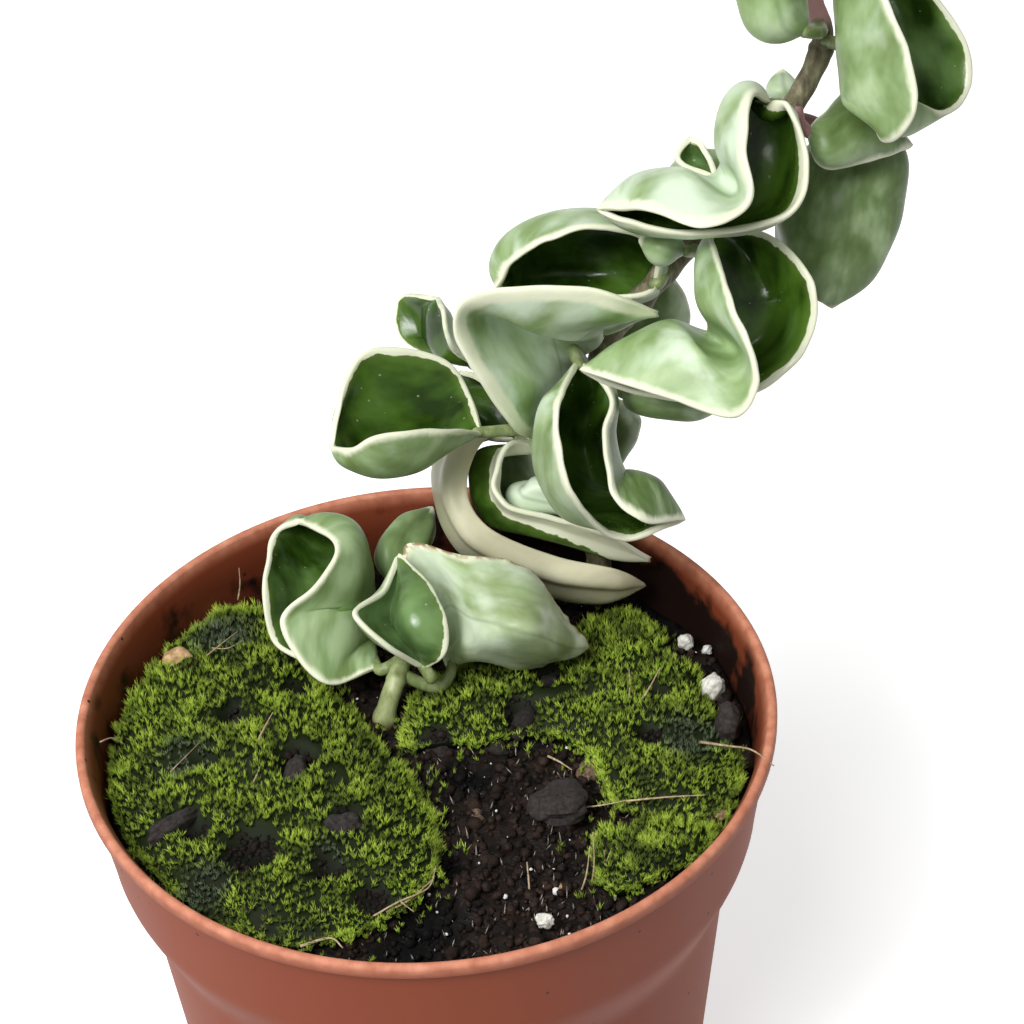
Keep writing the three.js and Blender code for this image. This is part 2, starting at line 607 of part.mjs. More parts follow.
function potSolid() {
  const collarFoot = POT_HEIGHT - COLLAR_HEIGHT;
  const bodyTop = collarFoot - STEP_HEIGHT;
  const stepHeights = [0.25, 0.5, 0.75].map((rise) => bodyTop + STEP_HEIGHT * rise);
  const lipFoot = POT_HEIGHT - LIP_DEPTH;
  const lipEase = 0.45;
  const innerRim = RIM_RADIUS - LIP_WIDTH;
  const outer = [
    [0, 0],
    [BASE_RADIUS - BASE_CORNER, 0],
    [wallRadius(BASE_CORNER), BASE_CORNER],
    [BODY_TOP_RADIUS, bodyTop],
    ...stepHeights.map((z) => [wallRadius(z), z]),
    [COLLAR_FOOT_RADIUS, collarFoot],
    [wallRadius(lipFoot), lipFoot],
    [RIM_RADIUS, lipFoot + lipEase],
    [RIM_RADIUS, POT_HEIGHT - lipEase],
    [RIM_RADIUS - lipEase, POT_HEIGHT],
    [innerRim + lipEase, POT_HEIGHT],
    [innerRim, POT_HEIGHT - lipEase],
    [wallRadius(lipFoot) - WALL, lipFoot],
    [COLLAR_FOOT_RADIUS - WALL, collarFoot],
    ...stepHeights.map((z) => [wallRadius(z) - WALL, z]).reverse(),
    [BODY_TOP_RADIUS - WALL, bodyTop],
    [wallRadius(FLOOR) - WALL, FLOOR],
    [0, FLOOR],
  ];
  const profile = outer.map(([radius, height]) => new THREE.Vector2(radius, height));
  const lathe = new THREE.LatheGeometry(profile, POT_SIDES);
  lathe.rotateX(Math.PI / 2);
  let pot = solidOf(lathe);
  for (let k = 0; k < DRAIN_HOLE_COUNT; k += 1) {
    const angle = (2 * Math.PI * k) / DRAIN_HOLE_COUNT;
    const hole = new THREE.CylinderGeometry(DRAIN_HOLE_RADIUS, DRAIN_HOLE_RADIUS, 4 * FLOOR, 14);
    hole.rotateX(Math.PI / 2);
    hole.translate(DRAIN_HOLE_CIRCLE * Math.cos(angle), DRAIN_HOLE_CIRCLE * Math.sin(angle), 0);
    pot = pot.subtract(solidOf(hole));
  }
  return pot;
}

// The soil fills the pot, a hair clear of its wall, and holds a plain hole for each stem
function soilSolid(stemCutters) {
  const collarFoot = POT_HEIGHT - COLLAR_HEIGHT;
  const bodyTop = collarFoot - STEP_HEIGHT;
  const inset = WALL + CLEARANCE + 0.1;
  const foot = FLOOR + CLEARANCE;
  const wallRing = (z) => (angle) => {
    const radius = wallRadius(z) - inset;
    return new THREE.Vector3(radius * Math.cos(angle), radius * Math.sin(angle), z);
  };
  const topRadius = wallRadius(POT_HEIGHT - SOIL_DROP) - inset;
  const rings = [wallRing(foot), wallRing(bodyTop)];
  for (const rise of [0.25, 0.5, 0.75]) rings.push(wallRing(bodyTop + STEP_HEIGHT * rise));
  rings.push(wallRing(collarFoot));
  for (let i = SOIL_RINGS; i > 0; i -= 1) {
    rings.push((angle) => {
      const radius = (topRadius * i) / SOIL_RINGS;
      const x = radius * Math.cos(angle);
      const y = radius * Math.sin(angle);
      return new THREE.Vector3(x, y, soilTop(x, y));
    });
  }
  const lowPoint = new THREE.Vector3(0, 0, foot);
  const highPoint = new THREE.Vector3(0, 0, soilTop(0, 0));
  let soil = solidOf(ringGeometry(lowPoint, rings, highPoint, SOIL_SIDES));
  for (const cutter of stemCutters) soil = soil.subtract(cutter);
  return soil;
}

// A moss cushion: a bumpy pad with an uneven outline that follows the soil below it
function mossSolid({ centre, height, seed, outline }, cutters) {
  const border = new THREE.CatmullRomCurve3(
    outline.map(([x, y]) => new THREE.Vector3(x, y, 0)), true, 'catmullrom', 0.5);
  const middle = new THREE.Vector3(centre[0], centre[1], 0);
  const limit = wallRadius(POT_HEIGHT - SOIL_DROP) - WALL - MOSS_WALL_GAP;
  const spot = (angle, share) => {
    const place = border.getPoint(angle / (2 * Math.PI)).lerp(middle, 1 - share);
    const far = Math.hypot(place.x, place.y);
    return far > limit ? place.multiplyScalar(limit / far) : place;
  };
  const seatAt = (place) => soilTop(place.x, place.y) + MOSS_SEAT;
  const topAt = (place, share) => {
    const lump = 0.7 * Math.sin(place.x * 0.55 + seed) * Math.cos(place.y * 0.48 - seed);
    const rise = Math.sqrt(Math.max(0, 1 - share * share));
    return seatAt(place) + 0.6 + (height + lump) * rise;
  };
  const ring = (share, heightAt) => (angle) => {
    const place = spot(angle, share);
    return place.setZ(heightAt(place, share));
  };
  const lower = [];
  const upper = [];
  for (let i = 1; i <= MOSS_RINGS; i += 1) {
    lower.push(ring(i / MOSS_RINGS, seatAt));
    upper.unshift(ring(Math.sin((Math.PI / 2) * (i / MOSS_RINGS)), topAt));
  }
  const lowPoint = middle.clone().setZ(seatAt(middle));
  const highPoint = middle.clone().setZ(topAt(middle, 0));
  let moss = solidOf(ringGeometry(lowPoint, [...lower, ...upper], highPoint, MOSS_SIDES));
  for (const cutter of cutters) moss = moss.subtract(cutter);
  return moss;
}

// A loose lump that stands on the soil; grow widens it, for cutting its place out of the moss
function bitSolid({ at, size, turn, seed }, grow) {
  const sides = 7;
  const spin = turnOf(turn);
  const seat = soilTop(at[0], at[1]) + BIT_SEAT - grow;
  const levels = [0.04, 0.35, 0.72, 0.96];
  const ring = (level, i) => (angle) => {
    const round = Math.sqrt(1 - (2 * level - 1) ** 2) * 0.75 + 0.25;
    const rough = 0.82 + 0.36 * drawn(seed, i * sides + Math.round((angle * sides) / (2 * Math.PI)));
    const x = (size[0] * round * rough + grow) * Math.cos(angle);
    const y = (size[1] * round * rough + grow) * Math.sin(angle);
    return new THREE.Vector3(
      at[0] + x * Math.cos(spin) - y * Math.sin(spin),
      at[1] + x * Math.sin(spin) + y * Math.cos(spin),
      seat + level * (2 * size[2] + 2 * grow));
  };
  const lowPoint = new THREE.Vector3(at[0], at[1], seat);
  const highPoint = new THREE.Vector3(at[0], at[1], seat + 2 * size[2] + 2 * grow);
  return solidOf(ringGeometry(lowPoint, levels.map(ring), highPoint, sides));
}

const group = new THREE.Group();

function addPart(name, solid, material) {
  const mesh = new THREE.Mesh(geometryFrom(solid), material);
  mesh.name = name;
  group.add(mesh);
}

function plastic() {
  return new THREE.MeshStandardMaterial({ color: '#a8492f', roughness: 0.45, metalness: 0 });
}

function darkSoil() {
  return new THREE.MeshStandardMaterial({ color: '#1e1714', roughness: 0.95, metalness: 0 });
}

function livingMoss() {
  return new THREE.MeshStandardMaterial({ color: '#5f8a1e', roughness: 0.9, metalness: 0 });
}

function tanStone() {
  return new THREE.MeshStandardMaterial({ color: '#c9a072', roughness: 0.8, metalness: 0 });
}

function whitePerlite() {
  return new THREE.MeshStandardMaterial({ color: '#e6e3da', roughness: 0.9, metalness: 0 });
}

function darkBark() {
  return new THREE.MeshStandardMaterial({ color: '#241d1b', roughness: 0.9, metalness: 0 });
}

function woodyStem() {
  return new THREE.MeshStandardMaterial({ color: '#7a705a', roughness: 0.7, metalness: 0 });
}

function greenStem() {
  return new THREE.MeshStandardMaterial({ color: '#7f8a55', roughness: 0.55, metalness: 0 });
}

function waxyLeaf() {
  return new THREE.MeshStandardMaterial({ color: '#8fb37c', roughness: 0.35, metalness: 0 });
}

const vineCurve = curveThrough(VINE_PATH.map(placeOf));
const shootCurve = curveThrough(SHOOT_PATH.map(placeOf));
const vineRadius = (t) => VINE_FOOT_RADIUS + (VINE_TOP_RADIUS - VINE_FOOT_RADIUS) * t;
const shootRadius = (t) => SHOOT_RADIUS * (1 - 0.15 * t);
const VINE_STEPS = 3 * (VINE_PATH.length - 1);
const SHOOT_STEPS = 2 * (SHOOT_PATH.length - 1);
const vineSolid = solidOf(stemGeometry(vineCurve, vineRadius, VINE_STEPS, STEM_SIDES));
const shootSolid = solidOf(stemGeometry(shootCurve, shootRadius, SHOOT_STEPS, STEM_SIDES));
const grown = (radiusAt) => (t) => radiusAt(t) + CLEARANCE + 0.05;
const vineCutter = solidOf(stemGeometry(vineCurve, grown(vineRadius), VINE_STEPS, STEM_SIDES));
const shootCutter = solidOf(stemGeometry(shootCurve, grown(shootRadius), SHOOT_STEPS, STEM_SIDES));

addPart('pot', potSolid(), plastic());
addPart('soil', soilSolid([vineCutter, shootCutter]), darkSoil());
const bitCutters = Object.values(BITS).map((bit) => bitSolid(bit, CLEARANCE));
const mossCutters = [vineCutter, shootCutter, ...bitCutters];
for (const [name, moss] of Object.entries(MOSS)) {
  addPart(name, mossSolid(moss, mossCutters), livingMoss());
}
const bitMaterial = { stone: tanStone, perlite: whitePerlite, bark: darkBark };
for (const [name, bit] of Object.entries(BITS)) {
  addPart(name, bitSolid(bit, 0), bitMaterial[bit.kind]());
}
addPart('vine_stem', vineSolid, woodyStem());
addPart('side_shoot_stem', shootSolid, greenStem());
for (const [name, leaf] of Object.entries(FRONT_LEAVES)) {
  const cutter = leaf.stem === 'vine' ? vineCutter : shootCutter;
  addPart(name, leafSolid(leafFromView(leaf), cutter), waxyLeaf());
}
BACK_LEAVES.forEach((leaf, k) => {
  addPart(`leaf_back_${k + 1}`, leafSolid(leafBehind(leaf, vineCurve), vineCutter), waxyLeaf());
});

export default group;
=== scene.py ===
import math
from functools import partial

import bpy
import numpy as np
from bpy.props import FloatProperty, FloatVectorProperty, IntProperty, PointerProperty
from mathutils import Matrix, Vector


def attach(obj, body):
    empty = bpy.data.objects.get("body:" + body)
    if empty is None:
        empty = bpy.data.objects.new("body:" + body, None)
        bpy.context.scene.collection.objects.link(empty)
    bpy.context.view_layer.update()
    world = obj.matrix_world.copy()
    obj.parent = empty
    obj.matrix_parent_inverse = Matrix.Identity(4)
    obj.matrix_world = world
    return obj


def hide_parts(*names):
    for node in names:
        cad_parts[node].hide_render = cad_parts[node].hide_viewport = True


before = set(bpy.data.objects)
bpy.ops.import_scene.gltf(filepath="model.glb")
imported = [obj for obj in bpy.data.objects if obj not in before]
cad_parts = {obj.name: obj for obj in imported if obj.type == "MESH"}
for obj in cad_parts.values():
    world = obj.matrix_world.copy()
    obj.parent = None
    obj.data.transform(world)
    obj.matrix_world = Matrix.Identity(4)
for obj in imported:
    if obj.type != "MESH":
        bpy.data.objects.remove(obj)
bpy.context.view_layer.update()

bl_info = {
    "name": "Hindu rope plant in a nursery pot",
    "version": (1, 0, 0),
    "blender": (4, 5, 0),
    "location": "View3D > Sidebar > Rope plant",
    "description": "Builds a variegated hindu rope plant with its moss, soil and nursery pot",
    "category": "Add Mesh",
}

# Everything below is worked out in millimetres and turned to metres as a piece is made.
MM = 0.001

# Sizes of the pot and the soil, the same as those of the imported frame
POT_HEIGHT = 90.0
RIM_RADIUS = 55.0
LIP_WIDTH = 1.6
LIP_FOOT = POT_HEIGHT - 2.4
COLLAR_TOP_RADIUS = 54.2
COLLAR_FOOT_RADIUS = 52.0
COLLAR_HEIGHT = 18.0
COLLAR_FOOT = POT_HEIGHT - COLLAR_HEIGHT
STEP_HEIGHT = 16.0
BODY_TOP = COLLAR_FOOT - STEP_HEIGHT
BODY_TOP_RADIUS = 47.2
BASE_RADIUS = 42.0
BASE_CORNER = 1.5
BEAD_CORNER = 0.45
WALL = 1.4
FLOOR = 2.0
DRAIN_HOLE_COUNT = 6
DRAIN_HOLE_RADIUS = 3.5
DRAIN_HOLE_CIRCLE = 25.0
CLEARANCE = 0.3
SOIL_INSET = WALL + CLEARANCE + 0.1
SOIL_LEVEL = POT_HEIGHT - 11.0
SOIL_FRONT_RISE = 1.5
SOIL_DOME = 1.5
SOIL_BUMP = 0.5
MOSS_SEAT = 0.8
MOSS_WALL_GAP = 1.4
BIT_SEAT = 0.55
VINE_FOOT_RADIUS = 2.3
VINE_TOP_RADIUS = 1.5
SHOOT_RADIUS = 1.7
SHARP_ANGLE = math.radians(38)

# A level clear of everything, where the soil's top rings wait for their heights
ABOVE_ALL = 200.0

# How finely things are made. Of a pair, only the first is used; the second is coarser.
SOIL_SIDES = (220, 120)
SOIL_RING_COUNT = (64, 30)
NEEDLES_PER_SHOOT = (13, 5)
SHOOT_SPACING_SHARE = (1.0, 1.6)
CRUMB_SHARE = (1, 4)
PAD_SIDES = 72
SMALL_LEAF_LENGTH = 21
SMALL_LEAF_GRID, QUICK_LEAF_GRID, LEAF_GRID = (28, 20), (20, 16), (40, 26)
VINE_STEPS, SHOOT_STEPS, STALK_STEPS, STRAND_STEPS = 260, 90, 26, 18

# The view in which the plant's points are given: a square 1024 px wide that looks down at the pot
# from the front. The third number of a point is its height in mm off the sheet, a plane through
# the rim's centre that leans back with the view.
VIEW_WIDTH_PX = 1024.0
VIEW_FOCAL_PX = 2858.9
VIEW_DISTANCE = 450.0
VIEW_TILT = math.radians(42.88)
VIEW_YAW = math.radians(-2.03)
VIEW_PITCH = math.radians(3.69)
VIEW_ROLL = math.radians(4.66)
SENSOR_WIDTH = 36.0


def fine(choices):
    """The first of two choices."""
    return choices[0]


# The main vine and the side shoot, from below the soil upwards, in view points
VINE_PATH = [(601, 640, -41), (600, 606, -37), (598, 545, -28), (594, 450, -14), (602, 350, 0),
             (645, 295, 5), (700, 230, 10), (745, 165, 14.5), (790, 110, 19), (822, 45, 25),
             (812, 0, 29), (802, -50, 33), (806, -90, 36)]
SHOOT_PATH = [(376, 765, -19), (384, 722, -12), (389, 700, -9.5), (396, 680, -9),
              (402, 662, -10.5), (410, 640, -14)]

# Leaves seen from the front. First comes how each looks: how milky its underside is, the width of
# its cream margin in mm, how far below 0 its underside is darkened with painted shade, how far it
# has aged to cream, how far its upper side is paled by painted sheen and how far its left half is
# darkened with painted shade. Then come three view points, where it leaves its stem, its base and
# its tip. Each row across the blade has its left margin, rib and right margin, seen at its
# underside from base to tip, and how far in mm its two halves bow out between them.
FRONT_LEAVES = {
    "leaf_upper_fold": {
        "looks": (0.55, 2, 0.05, 0, 0, 0), "foot": (790, 112, 19), "base": (770, 104, 23),
        "tip": (598, 210, 27), "rows": [
            ((788, 104, 29), (742, 102, 21), (752, 98, 33), (4, 2.5)),
            ((807, 158, 29), (732, 148, 20), (746, 147, 38), (5, 3)),
            ((794, 212, 32), (714, 176, 22), (749, 203, 41), (5, -1.5)),
            ((706, 233, 33), (682, 182, 21), (705, 229, 42), (4, 4.5)),
            ((642, 224, 30), (640, 188, 21), (650, 212, 37), (4, 3.5)),
        ]},
    "leaf_middle_fold": {
        "looks": (0.36, 1, 0, 0, 0, 0), "foot": (694, 238, 9), "base": (710, 231, 17),
        "tip": (580, 371, 25), "rows": [
            ((770, 235, 19), (712, 252, 17), (717, 252, 29), (4, 2)),
            ((815, 285, 24), (712, 300, 19), (734, 305, 40), (6, 3)),
            ((806, 352, 20), (708, 335, 19), (757, 372, 41), (6, -1.5)),
            ((742, 400, 18), (674, 324, 18), (737, 419, 36), (5, 6)),
            ((660, 398, 19), (630, 343, 18), (662, 397, 32), (4, 5)),
        ]},
    "leaf_scoop": {
        "looks": (0.5, 3.2, 0.1, 0, 0, 0), "foot": (596, 425, -10), "base": (535, 440, 0),
        "tip": (660, 314, 20), "rows": [
            ((520, 428, -4), (545, 402, -5), (514, 430, 10), (3, 1.5)),
            ((490, 372, -3), (568, 366, -2.5), (476, 377, 19), (4, 2.5)),
            ((500, 332, -2), (590, 348, 4), (453, 326, 24), (4, -6)),
            ((530, 324, -1), (600, 338, 7), (468, 295, 27), (3, 2.5)),
            ((560, 322, 2), (604, 326, 12), (524, 286, 28), (3, 3)),
            ((624, 318, 9), (628, 314, 15), (604, 291, 27), (1, 2.5)),
        ]},
    "leaf_hood": {
        "looks": (0.4, 1, 0.05, 0, 0.1, 0), "foot": (668, 266, 7), "base": (655, 284, 9),
        "tip": (498, 288, 14), "rows": [
            ((650, 292, 12), (645, 274, 4), (653, 246, 15), (2, 3)),
            ((600, 298, 13), (598, 272, 0), (602, 227, 20), (4, 6)),
            ((545, 297, 12), (545, 272, 1), (546, 241, 20), (4, 6)),
            ((512, 290, 12), (515, 276, 5), (514, 262, 17), (2, 4)),
        ]},
    "leaf_tongue": {
        "looks": (0.42, 1.3, 0, 0, 0.12, -0.55), "foot": (598, 385, -4), "base": (578, 362, 9),
        "tip": (684, 520, 7), "rows": [
            ((610, 395, 12), (590, 392, 5), (562, 398, 20), (2, 4)),
            ((605, 433, 13), (582, 445, -2), (559, 440, 22), (3, 5.5)),
            ((611, 492, 15), (598, 488, -4), (575, 496, 20), (4, 5)),
            ((645, 523, 15), (650, 500, -2), (617, 540, 9), (5, 1)),
        ]},
    "leaf_wing": {
        "looks": (0.25, 1, -0.1, 0, 0, 0), "foot": (593, 456, -14.7), "base": (482, 432, -6),
        "tip": (331, 446, 6), "rows": [
            ((458, 430, 5), (462, 437, -5), (472, 398, -4), (1, 1)),
            ((417, 430, 11), (417, 456, -4), (444, 358, -2), (3.5, 1)),
            ((375, 436, 13), (375, 462, -1), (375, 347, 2), (4, 1)),
            ((350, 448, 10), (348, 457, 2), (345, 380, 5), (2, 1)),
        ]},
    "leaf_wing_back": {
        "looks": (0.1, 0.4, -0.35, 0, 0, 0), "foot": (598, 402, -6.5), "base": (478, 366, -19),
        "tip": (438, 298, -17), "rows": [
            ((404, 342, -25), (440, 356, -20), (450, 346, -12), (2, 2)),
            ((399, 298, -25), (430, 324, -20), (442, 312, -11), (2, 2)),
        ]},
    "leaf_nook": {
        "looks": (0, 0.5, -0.5, 0, 0, 0), "foot": (598, 415, -9), "base": (522, 440, -17),
        "tip": (460, 372, -16), "rows": [
            ((484, 438, -17.5), (492, 420, -17), (512, 404, -13), (2, 2)),
            ((454, 402, -16), (468, 394, -18), (488, 382, -13), (2, 2)),
        ]},
    "leaf_loop": {
        "looks": (0, 5.2, -0.6, 0, 0, 0), "foot": (597, 512, -22), "base": (553, 450, -16),
        "tip": (652, 560, -21), "rows": [
            ((511, 442, -9), (482, 450, -16), (533, 433, -28), (1.5, 3)),
            ((495, 480, -7), (474, 488, -15.5), (538, 470, -31), (1.5, 4)),
            ((507, 506, -7), (491, 522, -15), (548, 502, -32), (1.5, 4)),
            ((550, 517, -9), (545, 536, -14.5), (570, 526, -32), (1, 3)),
            ((604, 533, -12.5), (600, 553, -17.5), (612, 548, -28), (0.5, 1)),
        ]},
    "leaf_inner": {
        "looks": (1.2, 1.2, 0, 0, 0, 0), "foot": (596, 492, -19), "base": (566, 476, -20.5),
        "tip": (606, 526, -16), "rows": [
            ((511, 501, -16), (523, 491, -11.5), (546, 480, -12.5), (1.5, 1)),
            ((552, 505, -16.5), (566, 499, -12), (580, 497, -12.5), (1.5, 1)),
        ]},
    "leaf_skirt": {
        "looks": (0.5, 1.8, 0, 0.85, 0, 0), "foot": (598, 545, -27), "base": (514, 429, -23),
        "tip": (646, 584, -25), "rows": [
            ((447, 447, -25), (452, 453, -15), (482, 443, -13), (1, 2)),
            ((442, 496, -25), (444, 500, -14), (467, 489, -11), (1, 2)),
            ((464, 552, -27), (470, 542, -15), (490, 528, -11), (1, 2)),
            ((530, 586, -28.5), (532, 575, -19), (556, 556, -16), (1, 2)),
            ((592, 600, -29), (600, 587, -21), (617, 569, -18.5), (1, 1.5)),
        ]},
    "leaf_drape": {
        "looks": (0.2, 0.6, -0.5, 0, 0, 0), "foot": (775, 128, 16.5), "base": (828, 128, 10),
        "tip": (832, 307, 4), "rows": [
            ((798, 160, 3), (858, 150, 12), (893, 155, 4), (3, 4)),
            ((776, 215, 0), (848, 200, 13), (890, 200, 0), (4, 5)),
            ((790, 275, 1), (842, 258, 10), (870, 258, 1), (3, 4)),
        ]},
    "leaf_bract": {
        "looks": (0.15, 0.9, -0.45, 0, 0, 0), "foot": (796, 104, 20), "base": (808, 132, 21),
        "tip": (912, 146, 16), "rows": [
            ((826, 168, 20), (830, 142, 23), (824, 116, 19), (1, 1)),
            ((872, 160, 18), (868, 128, 21), (856, 88, 15), (1, 1)),
        ]},
    "leaf_crest": {
        "looks": (0.22, 0.9, -0.15, 0, 0.3, 0), "foot": (822, 40, 25.5), "base": (852, 66, 30),
        "tip": (872, -78, 40), "rows": [
            ((882, 142, 38), (862, 104, 29), (935, 110, 28), (5, 4)),
            ((916, 116, 44), (856, 84, 27), (970, 92, 26), (6, 5)),
            ((914, 66, 47), (852, 40, 28), (968, 44, 27), (6, 6)),
            ((890, 4, 48), (852, -8, 31), (934, -8, 30), (5, 5)),
            ((868, -50, 46), (850, -42, 34), (904, -52, 35), (3, 4)),
        ]},
    "leaf_crest_left": {
        "looks": (0.3, 0.8, 0, 0, 0, 0), "foot": (817, 22, 27), "base": (806, 32, 38),
        "tip": (774, -72, 40), "rows": [
            ((805, 8, 34), (786, 24, 42), (760, 16, 34), (1, 3)),
            ((798, -28, 35), (776, -24, 45), (750, -20, 36), (1.5, 4)),
            ((788, -58, 38), (772, -52, 44), (756, -52, 37), (1, 2)),
        ]},
    "leaf_peek_upper": {
        "looks": (0.3, 0.8, 0.1, 0, 0.3, 0), "foot": (735, 180, 13), "base": (716, 178, 12),
        "tip": (690, 138, 10), "rows": [
            ((677, 160, 12), (693, 162, 8), (708, 152, 12), (1, 1)),
        ]},
    "leaf_peek_stem": {
        "looks": (0.5, 0.8, 0.1, 0, 0, 0), "foot": (797, 100, 20), "base": (788, 98, 15),
        "tip": (782, 71, 13), "rows": [
            ((797, 88, 12), (782, 88, 15), (768, 92, 12), (1, 1)),
        ]},
    "leaf_small_middle": {
        "looks": (0.35, 0.8, -0.1, 0, 0, 0), "foot": (690, 246, 8), "base": (686, 251, 17),
        "tip": (640, 240, 19), "rows": [
            ((668, 234, 17), (665, 248, 21), (656, 262, 17), (1, 1)),
        ]},
    "leaf_under_middle": {
        "looks": (0.2, 0.9, -0.3, 0, 0, 0), "foot": (616, 330, 2), "base": (622, 392, -2),
        "tip": (718, 409, 3), "rows": [
            ((636, 410, 1), (646, 400, 6), (654, 386, 2), (1, 1)),
            ((688, 417, 2), (693, 408, 7), (700, 396, 3), (1, 1)),
        ]},
    "leaf_pot_left": {
        "looks": (0.2, 0.8, -0.2, 0, 0.25, 0), "foot": (404, 658, -11), "base": (378, 668, -11),
        "tip": (298, 522, -19), "rows": [
            ((284, 652, -18), (370, 636, -21), (322, 684, -8), (3, 3)),
            ((263, 602, -17), (370, 600, -25), (279, 622, -7), (4, 6)),
            ((266, 562, -18), (362, 565, -26), (320, 580, -7), (4, 4)),
            ((274, 533, -20), (336, 534, -24), (334, 545, -11), (3, 4)),
        ]},
    "leaf_pot_centre": {
        "looks": (0.3, 0.9, -0.25, 0, 0.45, 0), "foot": (409, 643, -13.5),
        "base": (425, 668, -3), "tip": (399, 553, -8), "rows": [
            ((388, 646, 4), (412, 648, -4), (447, 652, 0), (1, -2)),
            ((352, 613, 5), (392, 622, -5), (447, 618, 1), (1, -3.5)),
            ((386, 590, -3), (398, 586, -7), (430, 585, -3), (1, -2)),
        ]},
    "leaf_pot_shell": {
        "looks": (0.5, 1.3, 0.05, 0.12, 0, 0), "foot": (398, 673, -9.5), "base": (450, 674, -11),
        "tip": (588, 646, -11), "rows": [
            ((451, 668, -13), (456, 638, -9), (402, 550, -11), (1, -3)),
            ((476, 660, -10), (484, 630, 2), (464, 555, -8), (1.2, -1)),
            ((525, 667, -11.5), (532, 628, 5), (522, 566, -7), (1.2, 0.5)),
            ((562, 655, -13), (566, 641, -4), (557, 608, -9), (1.2, 0)),
        ]},
    "leaf_pot_back": {
        "looks": (0.1, 0.7, -0.3, 0, 0, 0), "foot": (411, 638, -15), "base": (402, 592, -26),
        "tip": (432, 508, -31), "rows": [
            ((420, 562, -25), (404, 556, -23), (376, 562, -25), (1, 2)),
            ((434, 532, -29), (418, 528, -27), (392, 530, -29), (1, 2)),
        ]},
}

# Leaves on the far side: the share of the way along the vine, a turn about it in degrees, length,
# width and sway in mm, whether it rises, a seed, and its milk, margin and painted shade as above
BACK_LEAVES = [
    (0.265, 152, 20, 8, 1, False, 2, 0, 0.5, -0.6),
    (0.42, 186, 16, 20, -4, False, 3, 0.3, 0.9, -0.25),
    (0.56, 185, 19, 18, 2, False, 4, 0.3, 0.9, -0.25),
    (0.94, 170, 22, 20, 3, True, 6, 0.3, 0.9, -0.25),
    (1, 10, 17, 13, 1, True, 7, 0.3, 0.9, -0.25),
]

# Moss cushions: the height in mm, a seed, and the centre and outline on the soil in mm
MOSS = {
    "moss_left": {
        "height": 3.6, "seed": 3, "centre": (-27, -4),
        "outline": [(-49.5, -8), (-44, -21), (-37, -31), (-30, -37), (-22, -41), (-14, -40),
            (-8, -36.5), (-3, -32.5), (-0.5, -26), (-1, -16), (-5, -6), (-9, 1), (-12, 8.5),
            (-17, 14), (-21, 24), (-26, 35), (-34, 37.5), (-43, 29), (-50, 14)]},
    "moss_right": {
        "height": 3.2, "seed": 8, "centre": (27, 5),
        "outline": [(-3.5, -0.5), (3, -1.5), (9, -1), (16, 0.5), (22, -2), (26, -7), (27.5, -12),
            (28.5, -17), (33, -20), (41, -21.5), (46, -18), (48.5, -8), (45.5, 2), (44, 12),
            (40, 21), (35.5, 28), (28, 25.5), (20, 18), (8, 17), (0, 12), (-3, 6)]},
    "moss_front": {
        "height": 2.4, "seed": 5, "centre": (32, -28),
        "outline": [(24.5, -25.5), (23.5, -30.5), (26, -35.5), (33, -33.5), (39.5, -29.5),
            (42.5, -24.3), (36, -23.3), (29, -22.3)]},
}

# Loose bits that are solids of their own: the place on the soil and half sizes in mm, a turn in
# degrees, a seed and what each is
BITS = {
    "pebble": (-40.5, 25, 2.6, 2.1, 2, 20, 1, "stone"),
    "perlite_right": (46.5, 8, 2.3, 1.8, 1.9, 40, 2, "perlite"),
    "perlite_back": (43.5, 20, 1.4, 1.2, 1.3, 0, 3, "perlite"),
    "perlite_front": (15, -41, 1.5, 1.1, 1.2, 10, 4, "perlite"),
    "bark_left": (-40, -16, 5.2, 1.5, 2.4, 35, 5, "bark"),
    "bark_centre": (-21, -7, 3.6, 2, 2.6, 78, 6, "bark"),
    "bark_front": (-14, -20, 3, 2.4, 2.4, 10, 7, "bark"),
    "bark_round": (19, -18, 4.6, 4.2, 2, 0, 8, "bark"),
    "bark_wall": (47.5, -3, 2.2, 3.6, 3.2, -10, 9, "bark"),
    "bark_shoot": (21, 6, 2.8, 1.9, 1.7, 15, 10, "bark"),
}

# Places where the moss is open, the soil hollow or the moss grey: a pixel and a radius in mm. The
# open places and the hollows also get painted shade.
MOSS_HOLES = [
    (252, 862, 4), (345, 838, 2.6), (300, 775, 3.2), (330, 880, 2.6), (235, 727, 2.2),
    (197, 838, 2.4), (372, 905, 2.6), (210, 775, 1.8), (520, 720, 3), (548, 684, 2.2),
    (650, 745, 2.4), (655, 700, 1.8), (694, 640, 4.6), (719, 678, 3.8), (670, 612, 3.4),
    (440, 748, 2.6), (625, 830, 1.8), (300, 690, 2.4),
]
SOIL_HOLLOWS = [(425, 918, 5.5), (405, 945, 5), (470, 770, 3.5), (450, 860, 3), (655, 600, 6)]
MOSS_GREYS = [(207, 893, 3.6), (222, 640, 5), (188, 768, 4), (330, 868, 2.4), (690, 745, 5)]

